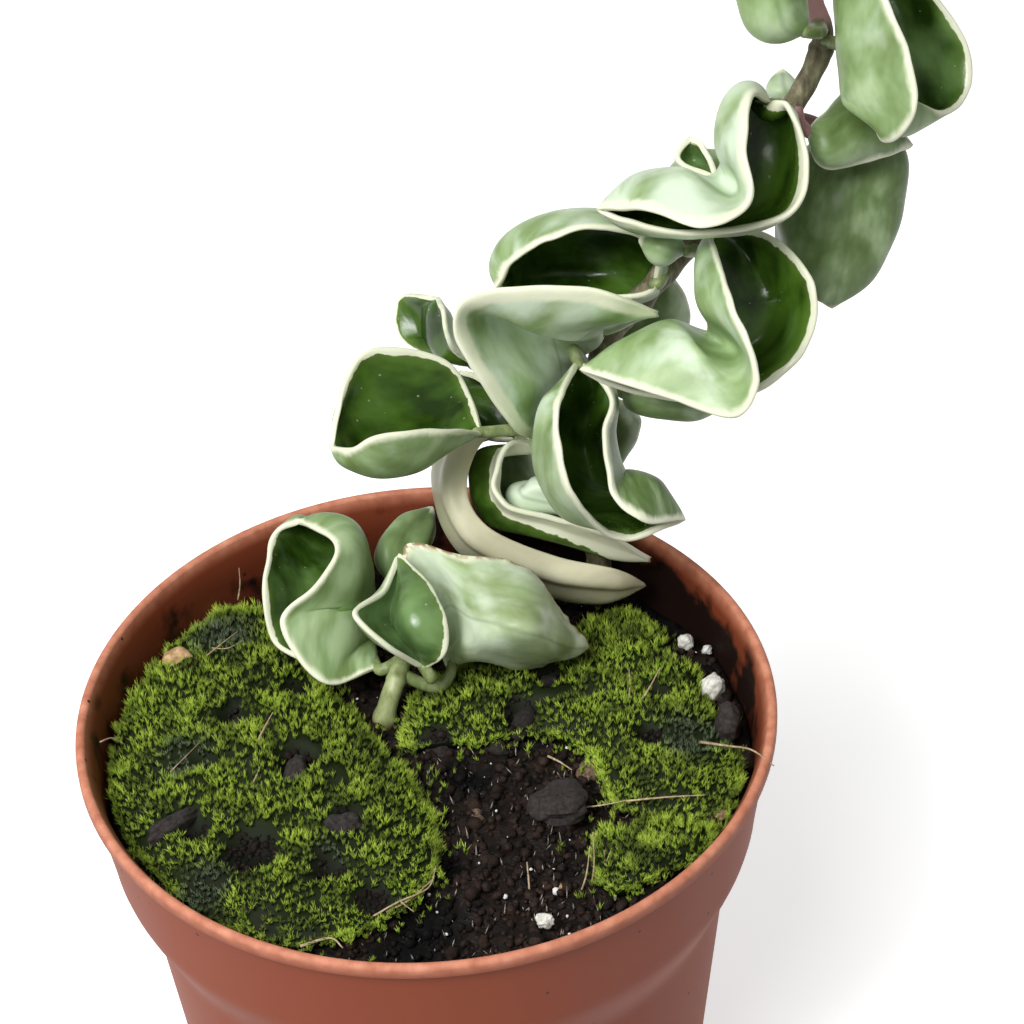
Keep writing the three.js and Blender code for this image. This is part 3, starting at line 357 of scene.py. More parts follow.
# Clods and crumbs of stone too small to be solids of their own, by what they are: a seed, a pixel
# of the view, the height in mm over the soil's mean level, half sizes in mm, a turn in degrees
CLODS = {
    "peat": [
        (0, 440, 750, 1.6, 2.6, 2, 1.4, 20), (1, 522, 722, 2.6, 3.2, 1.7, 1.5, 60),
        (2, 548, 684, 3.4, 2, 1.6, 1.3, 0), (5, 298, 790, 4.4, 1.9, 3.3, 1.5, 8),
        (6, 345, 838, 4, 2.4, 1.8, 1.2, 0), (7, 236, 728, 4, 2.2, 1.4, 1, 40),
        (8, 498, 750, 1.4, 2, 1.4, 1.1, -30), (15, 728, 780, 2, 1.2, 0.9, 0.8, 70),
        (16, 612, 832, 1.6, 1.6, 1.2, 1, 10), (17, 418, 742, 2, 1.8, 1.4, 1.1, 50)],
    "bark": [
        (3, 592, 770, 1.4, 2.3, 1.9, 1.8, 30), (4, 476, 818, 0.7, 1.4, 1.9, 1.2, 10)],
    "grit": [
        (9, 718, 815, 2.2, 1.4, 1, 0.9, 0), (14, 560, 888, 0.9, 1, 0.8, 0.6, 15)],
    "grain": [
        (10, 470, 894, 0.8, 0.8, 0.8, 0.7, 0), (11, 505, 921, 0.6, 0.7, 0.6, 0.5, 20),
        (12, 707, 650, 0.8, 0.9, 0.8, 0.8, 0), (13, 302, 803, 5.6, 0.5, 0.5, 0.5, 0)],
}

# Dry stems and rootlets: radius in mm, then each point's pixel and height in mm over the soil's
# mean level
STRANDS = [
    (0.28, (700, 742, 5), (728, 746, 7.5), (752, 750, 11.5), (774, 766, 10)),
    (0.22, (626, 801, 4.5), (668, 797, 5.8), (706, 795, 5.4)),
    (0.24, (636, 708, 5), (648, 690, 7.5), (660, 668, 8.5)),
    (0.24, (627, 706, 5), (630, 688, 6.5), (629, 668, 6.5)),
    (0.2, (562, 808, 2.2), (596, 806, 3.4), (628, 800, 4.5)),
    (0.24, (530, 905, 0.5), (529, 884, 2.5), (527, 862, 4.5)),
    (0.22, (252, 756, 5), (260, 738, 7.2), (268, 722, 8)),
    (0.2, (250, 790, 5), (257, 774, 6.8), (262, 762, 7.2)),
    (0.24, (386, 912, 3.2), (412, 898, 4.2), (434, 878, 4.6)),
    (0.3, (300, 946, 3.5), (330, 938, 4), (343, 948, 3.2)),
    (0.18, (100, 742, 8), (112, 738, 7), (124, 744, 5)),
    (0.14, (206, 656, 6.5), (221, 644, 7.4), (238, 631, 7)),
    (0.12, (212, 648, 7), (228, 648, 7.8), (243, 640, 7)),
    (0.12, (170, 772, 6.5), (182, 760, 7.6), (200, 742, 7)),
    (0.2, (370, 918, 3), (398, 902, 4.6), (428, 888, 4.8), (436, 866, 6)),
    (0.14, (400, 901, 4.6), (414, 912, 3.4)),
    (0.2, (252, 752, 5.4), (264, 728, 8.4), (273, 712, 9.4)),
    (0.22, (598, 728, 5), (606, 718, 6.4), (612, 712, 7)),
    (0.26, (548, 756, 2.5), (560, 762, 3.4), (572, 770, 3.6)),
    (0.2, (577, 902, 0.5), (586, 876, 3.6), (590, 846, 7.5)),
    (0.2, (590, 892, 0.5), (594, 866, 4.2), (593, 832, 8.5)),
    (0.18, (601, 896, 0.5), (603, 872, 3.4), (612, 848, 6)),
    (0.18, (614, 886, 0.5), (606, 866, 3.4), (604, 850, 6)),
    (0.2, (238, 600, 4), (240, 584, 7), (239, 568, 10)),
]


# Sight lines
SHEET_RISE = Vector((0, math.sin(VIEW_TILT), math.cos(VIEW_TILT)))
SHEET_OUT = Vector((0, -math.cos(VIEW_TILT), math.sin(VIEW_TILT)))
EYE = Vector((0, 0, POT_HEIGHT)) + SHEET_OUT * VIEW_DISTANCE


def view_axes():
    """The view's right, up and ahead, turned from the sheet by its yaw, pitch and roll."""
    yaw = Matrix.Rotation(VIEW_YAW, 3, SHEET_RISE)
    across = yaw @ Vector((1, 0, 0))
    pitch = Matrix.Rotation(VIEW_PITCH, 3, across)
    ahead = pitch @ (yaw @ -SHEET_OUT)
    roll = Matrix.Rotation(VIEW_ROLL, 3, ahead)
    return roll @ across, roll @ (pitch @ SHEET_RISE), ahead


VIEW_ACROSS, VIEW_UP, VIEW_AHEAD = view_axes()


def sight(x, y):
    """The direction of the sight line through a pixel of the view."""
    across = VIEW_ACROSS * ((x - VIEW_WIDTH_PX / 2) / VIEW_FOCAL_PX)
    return VIEW_AHEAD + across + VIEW_UP * ((VIEW_WIDTH_PX / 2 - y) / VIEW_FOCAL_PX)


def place_of(point):
    """The place of a view point: along its sight line to the given height off the sheet."""
    line = sight(*point[:2])
    return np.array(EYE + line * ((point[2] - VIEW_DISTANCE) / line.dot(SHEET_OUT)))


def place_over_soil(x, y, up):
    """The place where a pixel's sight line is a height over the soil's mean level."""
    line = sight(x, y)
    return np.array(EYE + line * ((SOIL_LEVEL + up - EYE.z) / line.z))


# Curves, noise and small sums
def unit(rows):
    """Each row brought to length 1."""
    rows = np.asarray(rows, float)
    return rows / np.maximum(np.linalg.norm(rows, axis=-1, keepdims=True), 1e-9)


def smooth(values):
    """An eased step from 0 to 1."""
    eased = np.clip(values, 0, 1)
    return eased * eased * (3 - 2 * eased)


def eased_between(before, here, after, beyond, f):
    """Places a share f of the way from here to after, on a curve that heeds their neighbours."""
    bend = 2 * before - 5 * here + 4 * after - beyond
    twist = 3 * here - 3 * after + beyond - before
    return 0.5 * (2 * here + (after - before) * f + bend * f**2 + twist * f**3)


def through(points, shares):
    """Places along the smooth curve through points, at shares of its length from 0 to 1."""
    points = np.asarray(points, float)
    around = np.vstack([2 * points[0] - points[1], points, 2 * points[-1] - points[-2]])
    travel = np.clip(shares, 0, 1) * (len(points) - 1)
    step = np.minimum(travel.astype(int), len(points) - 2)
    return eased_between(*(around[step + k] for k in range(4)), (travel - step)[:, None])


def closed_through(points, shares):
    """Places along the smooth closed curve through points."""
    points = np.asarray(points, float)
    travel = np.mod(shares, 1.0) * len(points)
    step = travel.astype(int)
    around = (points[(step + k) % len(points)] for k in (-1, 0, 1, 2))
    return eased_between(*around, (travel - np.floor(travel))[:, None])


def waves(places, size, seed):
    """A soft bumpy value from about -1 to 1 at each place, with bumps about size mm wide."""
    places = np.asarray(places, float)
    random = np.random.default_rng(seed)
    total = np.zeros(places.shape[:-1])
    for _ in range(9):
        direction = unit(random.normal(size=places.shape[-1]))
        pitch = size * random.uniform(0.7, 1.6)
        total += np.sin(places @ direction * (2 * math.pi / pitch) + random.uniform(0, 2 * math.pi))
    return total / 3.2


def rolled(points, degrees):
    """Points turned about the z axis."""
    cosine, sine = math.cos(math.radians(degrees)), math.sin(math.radians(degrees))
    x, y = points[:, 0], points[:, 1]
    return np.column_stack([x * cosine - y * sine, x * sine + y * cosine, *points.T[2:]])


def linear(hex_colour):
    """An sRGB hex colour as linear red, green and blue."""
    parts = [int(hex_colour[k:k + 2], 16) / 255 for k in (1, 3, 5)]
    return tuple(c / 12.92 if c <= 0.04045 else ((c + 0.055) / 1.055) ** 2.4 for c in parts)


# Blender objects
def only(piece):
    """Selects one object alone and makes it active."""
    bpy.ops.object.select_all(action="DESELECT")
    piece.select_set(True)
    bpy.context.view_layer.objects.active = piece


def named(name):
    """The active object, with its name set."""
    piece = bpy.context.active_object
    piece.name = piece.data.name = name
    return piece


def primitive(kind, name, **settings):
    """A mesh primitive, added and named."""
    bpy.ops.object.select_all(action="DESELECT")
    getattr(bpy.ops.mesh, f"primitive_{kind}_add")(**settings)
    return named(name)


def edit_all(piece, *steps):
    """Runs steps on the whole mesh of a piece in edit mode."""
    only(piece)
    bpy.ops.object.mode_set(mode="EDIT")
    bpy.ops.mesh.select_all(action="SELECT")
    for step in steps:
        step()
    bpy.ops.object.mode_set(mode="OBJECT")


def merge(distance):
    """A step that merges the vertices closer than a distance."""
    return partial(bpy.ops.mesh.remove_doubles, threshold=distance)


FACE_OUT = partial(bpy.ops.mesh.normals_make_consistent, inside=False)


def corners_of(piece):
    """The vertices of a piece, in mm."""
    flat = np.zeros(len(piece.data.vertices) * 3)
    piece.data.vertices.foreach_get("co", flat)
    return flat.reshape(-1, 3) / MM


def set_corners(piece, places):
    """Moves the vertices of a piece to places in mm."""
    piece.data.vertices.foreach_set("co", (np.asarray(places) * MM).ravel())
    piece.data.update()


def put(piece, name, values, kind="value"):
    """Keeps one number, or a vector, for each vertex of a piece, for its material to read."""
    store = piece.data.attributes.new(
        name, "FLOAT_VECTOR" if kind == "vector" else "FLOAT", "POINT")
    if np.ndim(values) == 0:
        values = np.full(len(piece.data.vertices), values)
    store.data.foreach_set(kind, np.asarray(values, np.float32).ravel())


def settle(piece):
    """Applies the place, turn and scale of a piece to its mesh."""
    only(piece)
    bpy.ops.object.transform_apply(location=True, rotation=True, scale=True)
    return piece


def apply_modifier(piece, kind, **settings):
    """Adds a modifier with its settings and applies it."""
    only(piece)
    modifier = piece.modifiers.new(kind.title(), kind)
    for key, value in settings.items():
        setattr(modifier, key, value)
    bpy.ops.object.modifier_apply(modifier=modifier.name)


def shade_smooth(piece):
    """Shades a whole piece smooth."""
    only(piece)
    bpy.ops.object.shade_smooth()


def join(pieces, name):
    """Joins pieces into the first of them."""
    only(pieces[0])
    for piece in pieces:
        piece.select_set(True)
    if len(pieces) > 1:
        bpy.ops.object.join()
    return named(name)


def finish(piece, slot, *nodes):
    """Settles a piece on the part: its body and the nodes it stands for. Its slot is not used."""
    settle(piece)
    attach(piece, "root")
    if nodes:
        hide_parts(*nodes)


def tube(name, places, radii, sides_share, material):
    """A round closed tube along places in mm, with its radius at each place."""
    curve = bpy.data.curves.new(name, "CURVE")
    curve.dimensions = "3D"
    curve.twist_mode = "MINIMUM"
    curve.bevel_depth = MM
    curve.bevel_resolution = sides_share
    curve.use_fill_caps = True
    line = curve.splines.new("POLY")
    line.points.add(len(places) - 1)
    for point, place, radius in zip(line.points, places, radii):
        point.co = (*(np.asarray(place) * MM), 1.0)
        point.radius = radius
    curve.materials.append(material)
    holder = bpy.data.objects.new(name, curve)
    bpy.context.scene.collection.objects.link(holder)
    only(holder)
    bpy.ops.object.convert(target="MESH")
    piece = named(name)
    edit_all(piece, merge(0.0001 * MM), FACE_OUT)
    shade_smooth(piece)
    return piece


def shape_of(piece):
    """The corners in mm and the triangles of a small modelled piece, which is removed."""
    apply_modifier(piece, "TRIANGULATE")
    corners = corners_of(piece)
    faces = np.zeros(len(piece.data.polygons) * 3, np.int32)
    piece.data.polygons.foreach_get("vertices", faces)
    bpy.data.objects.remove(piece)
    return corners, faces.reshape(-1, 3)


def copies(name, shape, turns, places, material, **values):
    """One mesh of copies of a small shape. turns holds a 3 by 3 matrix for each copy, sizes in it,
    places where each stands in mm, and values the numbers kept for each vertex of each copy."""
    corners, faces = shape
    count = len(places)
    spots = np.einsum("nij,kj->nki", turns, corners) + np.asarray(places)[:, None, :]
    triangles = (faces[None] + (np.arange(count) * len(corners))[:, None, None]).reshape(-1, 3)
    mesh = bpy.data.meshes.new(name)
    mesh.vertices.add(count * len(corners))
    mesh.loops.add(triangles.size)
    mesh.polygons.add(len(triangles))
    mesh.vertices.foreach_set("co", (spots * MM).ravel())
    mesh.loops.foreach_set("vertex_index", triangles.ravel())
    mesh.polygons.foreach_set("loop_start", np.arange(0, triangles.size, 3))
    mesh.update(calc_edges=True)
    mesh.materials.append(material)
    piece = bpy.data.objects.new(name, mesh)
    bpy.context.scene.collection.objects.link(piece)
    for key, kept in values.items():
        put(piece, key, np.broadcast_to(kept, (count, len(corners))))
    return piece


def spins(random, count):
    """A random angle for each of a count of copies."""
    return random.uniform(0, 6.28, count)


def turned(directions, angles, widths, lengths):
    """Matrices that take a shape's z axis to each direction, spun about it and scaled."""
    ahead = unit(directions)
    helper = np.where(np.abs(ahead[:, 2:3]) > 0.9, [[1.0, 0.0, 0.0]], [[0.0, 0.0, 1.0]])
    side = unit(np.cross(helper, ahead))
    other = np.cross(ahead, side)
    cosine, sine = np.cos(angles)[:, None], np.sin(angles)[:, None]
    widths, lengths = np.asarray(widths)[:, None], np.asarray(lengths)[:, None]
    return np.stack([(side * cosine + other * sine) * widths,
                     (other * cosine - side * sine) * widths, ahead * lengths], axis=2)


# Materials
MAIN_OUTPUTS = {"Mix": 2, "TexCoord": "Object", "Attribute": "Fac", "VectorMath": "Value"}
USUAL_SETTINGS = {"Mix": {"data_type": "RGBA"}}


def paint(colour):
    """An sRGB hex colour, or three linear numbers, as linear red, green, blue and a full alpha."""
    return (*(linear(colour) if isinstance(colour, str) else colour), 1.0)


def feed(tree, node, inputs):
    """Gives a node's inputs, by key or in order, their links and values."""
    for key, value in inputs.items() if isinstance(inputs, dict) else enumerate(inputs):
        socket = node.inputs[key]
        if isinstance(value, bpy.types.NodeSocket):
            tree.links.new(value, socket)
        else:
            socket.default_value = paint(value) if socket.type == "RGBA" else value


def set_stops(ramp, stops):
    """Sets the stops of a colour ramp from (position, colour) pairs."""
    while len(ramp.elements) < len(stops):
        ramp.elements.new(1.0)
    for element, (position, colour) in zip(ramp.elements, stops):
        element.position, element.color = position, paint(colour)


def add_node(tree, kind, inputs=(), out=None, stops=(), **settings):
    """Adds a shader node with its settings, values and links, and gives one of its outputs."""
    node = tree.nodes.new("ShaderNode" + kind)
    for key, value in {**USUAL_SETTINGS.get(kind, {}), **settings}.items():
        setattr(node, key, value)
    feed(tree, node, inputs)
    if stops:
        set_stops(node.color_ramp, stops)
    return node.outputs[MAIN_OUTPUTS.get(kind, 0) if out is None else out]


def new_material(name):
    """Starts a material. Gives the function that adds its nodes and the one that finishes it."""
    material = bpy.data.materials.new(name)
    material.use_nodes = True
    tree = material.node_tree

    def finished(inputs):
        """The material, with its Principled shader's links and values given."""
        feed(tree, tree.nodes["Principled BSDF"], inputs)
        return material

    return partial(add_node, tree), finished


def per_mm(size):
    """The scale of a pattern on Object coordinates whose marks are about size mm wide."""
    return 1 / (size * MM)


def moulded_polypropylene(settings):
    """Moulded polypropylene, terracotta coloured: satin and faintly uneven from the mould, paler
    along its bead with a painted highlight, darker inside with painted shade, soil-stained in
    patches and darker at the back right with soil and painted shade, with specks of soil dried on."""
    add, finished = new_material("Moulded_polypropylene")
    place = add("TexCoord")
    height = add("SeparateXYZ", [place], "Z")
    streaks = add("Mapping", {"Vector": place, "Scale": (1, 1, 0.3)})
    cloud = add("TexNoise", {"Vector": streaks, "Scale": per_mm(16), "Detail": 4})
    clouded = add("Mix", {0: cloud, 6: settings.colour, 7: settings.colour_light})
    # Painted highlight: the top of the bead is paler, broken up by noise
    bead = add("MapRange", [height, LIP_FOOT * MM, (POT_HEIGHT - 0.4) * MM])
    shine_breakup = add("TexNoise", {"Vector": place, "Scale": per_mm(2.5), "Detail": 5})
    bead_shine = add("Math", [bead, shine_breakup], operation="MULTIPLY")
    lipped = add("Mix", {0: bead_shine, 6: clouded, 7: settings.bead_shine_colour})

    # Painted shade: inside, the wall is darker, most of all down by the soil
    inside = add("Attribute", attribute_name="inside")
    low = add("MapRange", [height, (SOIL_LEVEL - 1) * MM, (POT_HEIGHT - 1) * MM, 1, 0.55])
    inner_painted_shade = add("Math", [low, inside], operation="MULTIPLY")
    wall = add("Mix", {0: inner_painted_shade, 6: lipped, 7: "#5f2d1c"})

    # Soil clings to the wall in patches, and most of it at the back right is darker, partly with
    # soil and partly with painted shade
    stain = add("TexNoise", {"Vector": place, "Scale": per_mm(7), "Detail": 6})
    towards = add("VectorMath", [place, (0.8, 0.6, 0.0)], operation="DOT_PRODUCT")
    back_right_stain_and_shade = add("MapRange", [towards, 28 * MM, 46 * MM, 0, 0.3], interpolation_type="SMOOTHSTEP")
    below = add("MapRange", [height, (POT_HEIGHT - 6) * MM, (POT_HEIGHT - 1.5) * MM, 1, 0.1])
    stain_and_shade = add("Math", [back_right_stain_and_shade, below, stain], operation="MULTIPLY_ADD")
    crust = add("MapRange", [stain_and_shade, 0.54, 0.68])
    wall_stain_and_shade = add("Math", [crust, inside], operation="MULTIPLY")
    stained_and_shaded = add("Mix", {0: wall_stain_and_shade, 6: wall, 7: "#1a0c08"})

    grains = add("TexVoronoi", {"Vector": place, "Scale": per_mm(2.4)})
    near = add("MapRange", [grains, 0.1, 0.16, 1, 0])
    chance = add("SeparateXYZ", [grains.node.outputs["Color"]])
    rare = add("Math", [chance, 0.86], operation="GREATER_THAN")
    speck = add("Math", [near, rare], operation="MULTIPLY")
    speckled = add("Mix", {0: speck, 6: stained_and_shaded, 7: "#3b1c14"})

    gloss = add("MapRange", {0: cloud, 3: 0.5, 4: 0.66})
    skin = add("TexNoise", {"Vector": place, "Scale": per_mm(0.7), "Detail": 3})
    swell = add("TexNoise", {"Vector": place, "Scale": per_mm(9), "Detail": 2})
    both = add("Math", [swell, 0.12, skin], operation="MULTIPLY_ADD")
    bump = add("Bump", {"Height": both, "Strength": 0.12, "Distance": 0.2 * MM})
    return finished({"Base Color": speckled, "Roughness": gloss, "IOR": 1.49,
                     "Specular IOR Level": 0.2, "Normal": bump})


def damp_peat(name, dark, light):
    """Peat and composted bark, screened and moist: near black crumbs with brown ones, mostly dull,
    with a wet gleam here and there, and blacker still with painted shade in the hollows."""
    add, finished = new_material(name)
    place = add("TexCoord")
    crumb = add("TexVoronoi", {"Vector": place, "Scale": per_mm(1.3)}, "Color")
    shade = add("SeparateXYZ", [crumb])
    mixed = add("Mix", {0: shade, 6: dark, 7: light})
    # Painted shade: the peat turns near black where the soil is hollow and where the moss is open
    damp = add("Attribute", attribute_name="damp")
    darker = add("Mix", {0: damp, 6: mixed, 7: "#020101"})
    wet = add("MapRange", {0: shade.node.outputs["Y"], 3: 0.5, 4: 0.95})
    grit = add("TexNoise", {"Vector": place, "Scale": per_mm(0.5), "Detail": 5})
    bump = add("Bump", {"Height": grit, "Strength": 0.8, "Distance": 0.4 * MM})
    return finished({"Base Color": darker, "Roughness": wet, "Specular IOR Level": 0.2,
                     "Normal": bump})


def living_moss(settings):
    """Cushion moss, grown: every shoot is near black at its foot, partly old growth and partly
    painted shade deep in the cushion, and yellow-green at its tip, and whole patches are fresher,
    browner or greyer than their neighbours."""
    add, finished = new_material("Living_cushion_moss")
    place = add("TexCoord")
    tip, luck, grey = (add("Attribute", attribute_name=name) for name in ("tip", "luck", "grey"))
    # The near-black foot is partly the shoots' old growth and partly painted shade deep in the
    # cushion
    foot = (0.0, "#090d04")
    fresh = add("ValToRGB", [tip], stops=[foot, (0.5, settings.leaf_colour),
                                          (1.0, settings.tip_colour)])
    dull = add("ValToRGB", [tip], stops=[foot, (0.55, "#3d4c14"), (1.0, "#8b9a42")])
    patch = add("TexNoise", {"Vector": place, "Scale": per_mm(11), "Detail": 3})
    share = add("Math", [patch, luck], operation="ADD")
    choice = add("MapRange", [share, 0.8, 1.3])
    grown = add("Mix", {0: choice, 6: fresh, 7: dull})
    dusty = add("ValToRGB", [tip], stops=[foot, (0.5, "#38442c"), (1.0, "#93a289")])
    greyed = add("Mix", {0: grey, 6: grown, 7: dusty})
    fuzz = add("TexNoise", {"Vector": place, "Scale": per_mm(0.35), "Detail": 2})
    bump = add("Bump", {"Height": fuzz, "Strength": 0.3, "Distance": 0.15 * MM})
    return finished({"Base Color": greyed, "Roughness": 0.7, "Specular IOR Level": 0.2,
                     "Normal": bump})


def leaf_skin(name, settings, upper):
    """One side of a thick waxy leaf. The upper side is deep green and glossy, with a sharp, notched
    cream margin, paled in patches by painted sheen. The underside is sage, mottled with milky
    patches, darkened with painted shade where a leaf or half leaf lies in shadow, and melts into
    its margin."""
    add, finished = new_material(name)
    at = add("Attribute", out="Vector", attribute_name="leaf_mm")
    edge, age, crust = (add("Attribute", attribute_name=name)
                        for name in ("margin_mm", "age", "crust"))
    tone = add("Attribute", out="Vector", attribute_name="tone")
    milk, width, shade = add("SeparateXYZ", [tone]).node.outputs

    # The margin's width wanders, and its border is notched
    wobble = add("TexNoise", {"Vector": at, "Scale": 0.2, "Detail": 1})
    spread = add("MapRange", [wobble, 0.3, 0.7, -0.3, 0.3])
    notch = add("TexNoise", {"Vector": at, "Scale": 0.75, "Detail": 1.5})
    cut = add("MapRange", [notch, 0.3, 0.7, -0.18, 0.18])
    narrow = add("Math", [width, 1.2], operation="MINIMUM")
    about = add("Math", [narrow, spread, width], operation="MULTIPLY_ADD")
    limit = add("Math", [about, cut], operation="ADD")
    soft = 0.12 if upper else 0.75
    low = add("Math", [limit, -soft], operation="ADD")
    high = add("Math", [limit, soft], operation="ADD")
    margin = add("MapRange", [edge, low, high, 1, 0], interpolation_type="SMOOTHSTEP")

    stretched = add("Mapping", {"Vector": at, "Scale": (0.13, 0.2, 1.0)})
    mottle = add("TexNoise", {"Vector": stretched, "Scale": 1, "Detail": 3, "Roughness": 0.5})
    cloud = add("TexNoise", {"Vector": at, "Scale": 0.14, "Detail": 3, "Roughness": 0.45})
    if upper:
        both = add("Math", [mottle, cloud], operation="MULTIPLY")
        green = add("ValToRGB", [both], stops=[(0.16, settings.upper_colour),
                                               (0.34, settings.upper_light)])
        # Painted sheen: patches of the upper side are paled to blue-green
        painted_sheen = add("Attribute", attribute_name="painted_sheen")
        sheened = add("Math", [cloud, painted_sheen], operation="ADD")
        lit = add("MapRange", [sheened, 0.6, 1.2, 0, 0.85], interpolation_type="SMOOTHSTEP")
        paler = add("Mix", {0: lit, 6: green, 7: "#84a56c"})
        reach = add("Math", [high, 1.6], operation="ADD")
        fringe = add("MapRange", [edge, high, reach, 0.4, 0])
        fringed = add("Mix", {0: fringe, 6: paler, 7: "#6d8a3c"})
        dots = add("TexVoronoi", {"Vector": at, "Scale": 0.42})
        dot = add("MapRange", [dots, 0.05, 0.08, 0.8, 0])
        body = add("Mix", {0: dot, 6: fringed, 7: "#9fb088"})
    else:
        sage = add("ValToRGB", [mottle], stops=[(0.3, "#738b4c"), (0.5, settings.under_colour),
                                                (0.7, "#aec395")])
        # Painted shade: leaves and half leaves in shadow get a darker sage
        dim = add("Math", [shade, -1.6], operation="MULTIPLY", use_clamp=True)
        shaded = add("ValToRGB", [mottle], stops=[(0.32, "#3d5220"), (0.5, "#5d7640"),
                                                  (0.68, "#96ab80")])
        deeper = add("Mix", {0: dim, 6: sage, 7: shaded})
        milky = add("Math", [cloud, milk], operation="ADD")
        patch = add("MapRange", [milky, 0.82, 1.18, 0, 0.9], interpolation_type="SMOOTHSTEP")
        patched = add("Mix", {0: patch, 6: deeper, 7: settings.milk_colour})
        aside = add("Math", [add("SeparateXYZ", [at], "Y")], operation="ABSOLUTE")
        rib = add("MapRange", [aside, 0.1, 0.5, 0.3, 0])
        body = add("Mix", {0: rib, 6: patched, 7: "#4d6236"})
    edged = add("Mix", {0: margin, 6: body, 7: settings.margin_colour})
    streak = add("Mix", {0: mottle, 6: settings.old_colour, 7: "#b3ae8a"})
    aged = add("Mix", {0: age, 6: edged, 7: streak})

    # A torn margin has dried brown in places
    dry = add("MapRange", [edge, 0.3, 1.5, 1, 0])
    scab = add("TexNoise", {"Vector": at, "Scale": 0.8, "Detail": 4})
    where = add("MapRange", [scab, 0.4, 0.52])
    crusty = add("Math", [dry, crust], operation="MULTIPLY")
    browned = add("Math", [crusty, where], operation="MULTIPLY", use_clamp=True)
    rimmed = add("Mix", {0: browned, 6: aged, 7: "#9c8660"})

    gloss = add("MapRange", {0: mottle, 3: 0.16 if upper else 0.34, 4: 0.3 if upper else 0.5})
    grain = add("TexNoise", {"Vector": at, "Scale": 0.9, "Detail": 4})
    bump = add("Bump", {"Height": grain, "Strength": 0.22, "Distance": 0.25 * MM})
    return finished({"Base Color": rimmed, "Roughness": gloss, "IOR": 1.45,
                     "Subsurface Weight": 0.12, "Subsurface Radius": (0.7, 1.0, 0.3),
                     "Subsurface Scale": 0.8 * MM, "Normal": bump})


def stem_skin(name, colours, ridge_mm, roughness):
    """A stem's skin: the corky bark of an old vine, or the smooth skin of a young shoot. colours
    holds its dark, middle and light tones, and its colour where it is young or blushed."""
    add, finished = new_material(name)
    blush = add("Attribute", attribute_name="blush")
    along = add("Mapping", {"Vector": add("TexCoord"), "Scale": (1, 1, 0.3)})
    fibre = add("TexNoise", {"Vector": along, "Scale": per_mm(ridge_mm), "Detail": 5,
                             "Roughness": 0.65})
    skin = add("ValToRGB", [fibre], stops=list(zip((0.3, 0.5, 0.72), colours)))
    mixed = add("Mix", {0: blush, 6: skin, 7: colours[3]})
    bump = add("Bump", {"Height": fibre, "Strength": 0.5, "Distance": 0.25 * MM})
    return finished({"Base Color": mixed, "Roughness": roughness, "Normal": bump})


def crumbly(name, dark, light, grain_mm, roughness):
    """A loose bit's surface: water-worn stone, expanded perlite or composted bark, each mottled and
    rough at the size of its own grain."""
    add, finished = new_material(name)
    grain = add("TexNoise", {"Vector": add("TexCoord"), "Scale": per_mm(grain_mm), "Detail": 5,
                             "Roughness": 0.7})
    tones = add("ValToRGB", [grain], stops=[(0.35, dark), (0.65, light)])
    bump = add("Bump", {"Height": grain, "Strength": 0.7, "Distance": 0.3 * MM})
    return finished({"Base Color": tones, "Roughness": roughness, "Normal": bump})


def pale_board(settings):
    """Painted board: matt, pale and plain, with a barely seen unevenness."""
    add, finished = new_material("Painted_board")
    cloud = add("TexNoise", {"Vector": add("TexCoord"), "Scale": 6, "Detail": 2})
    tint = add("Mix", {0: cloud, 6: settings.floor_colour, 7: "#fbfbfb"})
    return finished({"Base Color": tint, "Roughness": 0.8, "Emission Color": "#ffffff",
                     "Emission Strength": settings.floor_glow})


# The sizes and colours that a user would change
def colour_property(name, description, hex_colour):
    """A colour setting whose default is an sRGB hex value."""
    return FloatVectorProperty(name=name, description=description, subtype="COLOR", size=3,
                               min=0.0, max=1.0, default=linear(hex_colour))


def length_property(name, description, default_mm):
    """A length setting whose default is in mm."""
    return FloatProperty(name=name, description=description, subtype="DISTANCE", unit="LENGTH",
                         default=default_mm * MM)


def power_property(name, description, default):
    """A lamp's power setting."""
    return FloatProperty(name=name, description=description, subtype="POWER", unit="POWER",
                         default=default)


class RopePlantPotSettings(bpy.types.PropertyGroup):
    """Sizes and colours of the pot."""

    sides: IntProperty(name="Sides", description="Flat sides that make up the round wall",
                       default=160, min=24)
    colour: colour_property("Plastic", "Colour of the moulded plastic", "#86391d")
    colour_light: colour_property("Plastic, lighter", "Colour where it has faded", "#96492c")
    # The bead's paler colour is a painted highlight
    bead_shine_colour: colour_property("Bead shine", "Painted highlight along the rim's bead", "#eda688")


class RopePlantSoilSettings(bpy.types.PropertyGroup):
    """Sizes of the soil's crumbs."""

    crumb_count: IntProperty(name="Crumbs", description="Loose crumbs on the soil", default=2600,
                             min=0)
    crumb_radius: length_property("Crumb size", "Typical crumb radius", 0.55)
    fleck_count: IntProperty(name="Pale flecks", description="White flecks among the crumbs",
                             default=90, min=0)


class RopePlantMossSettings(bpy.types.PropertyGroup):
    """Sizes and colours of the moss."""

    spacing: length_property("Shoot spacing", "Distance between moss shoots", 0.85)
    needle_length: length_property("Needle length", "Length of a moss leaf", 1.7)
    needle_width: length_property("Needle width", "Half width of a moss leaf", 0.11)
    leaf_colour: colour_property("Shoot", "Colour halfway up a shoot", "#6d8a1f")
    tip_colour: colour_property("Tip", "Colour of a shoot's tip", "#c6db58")


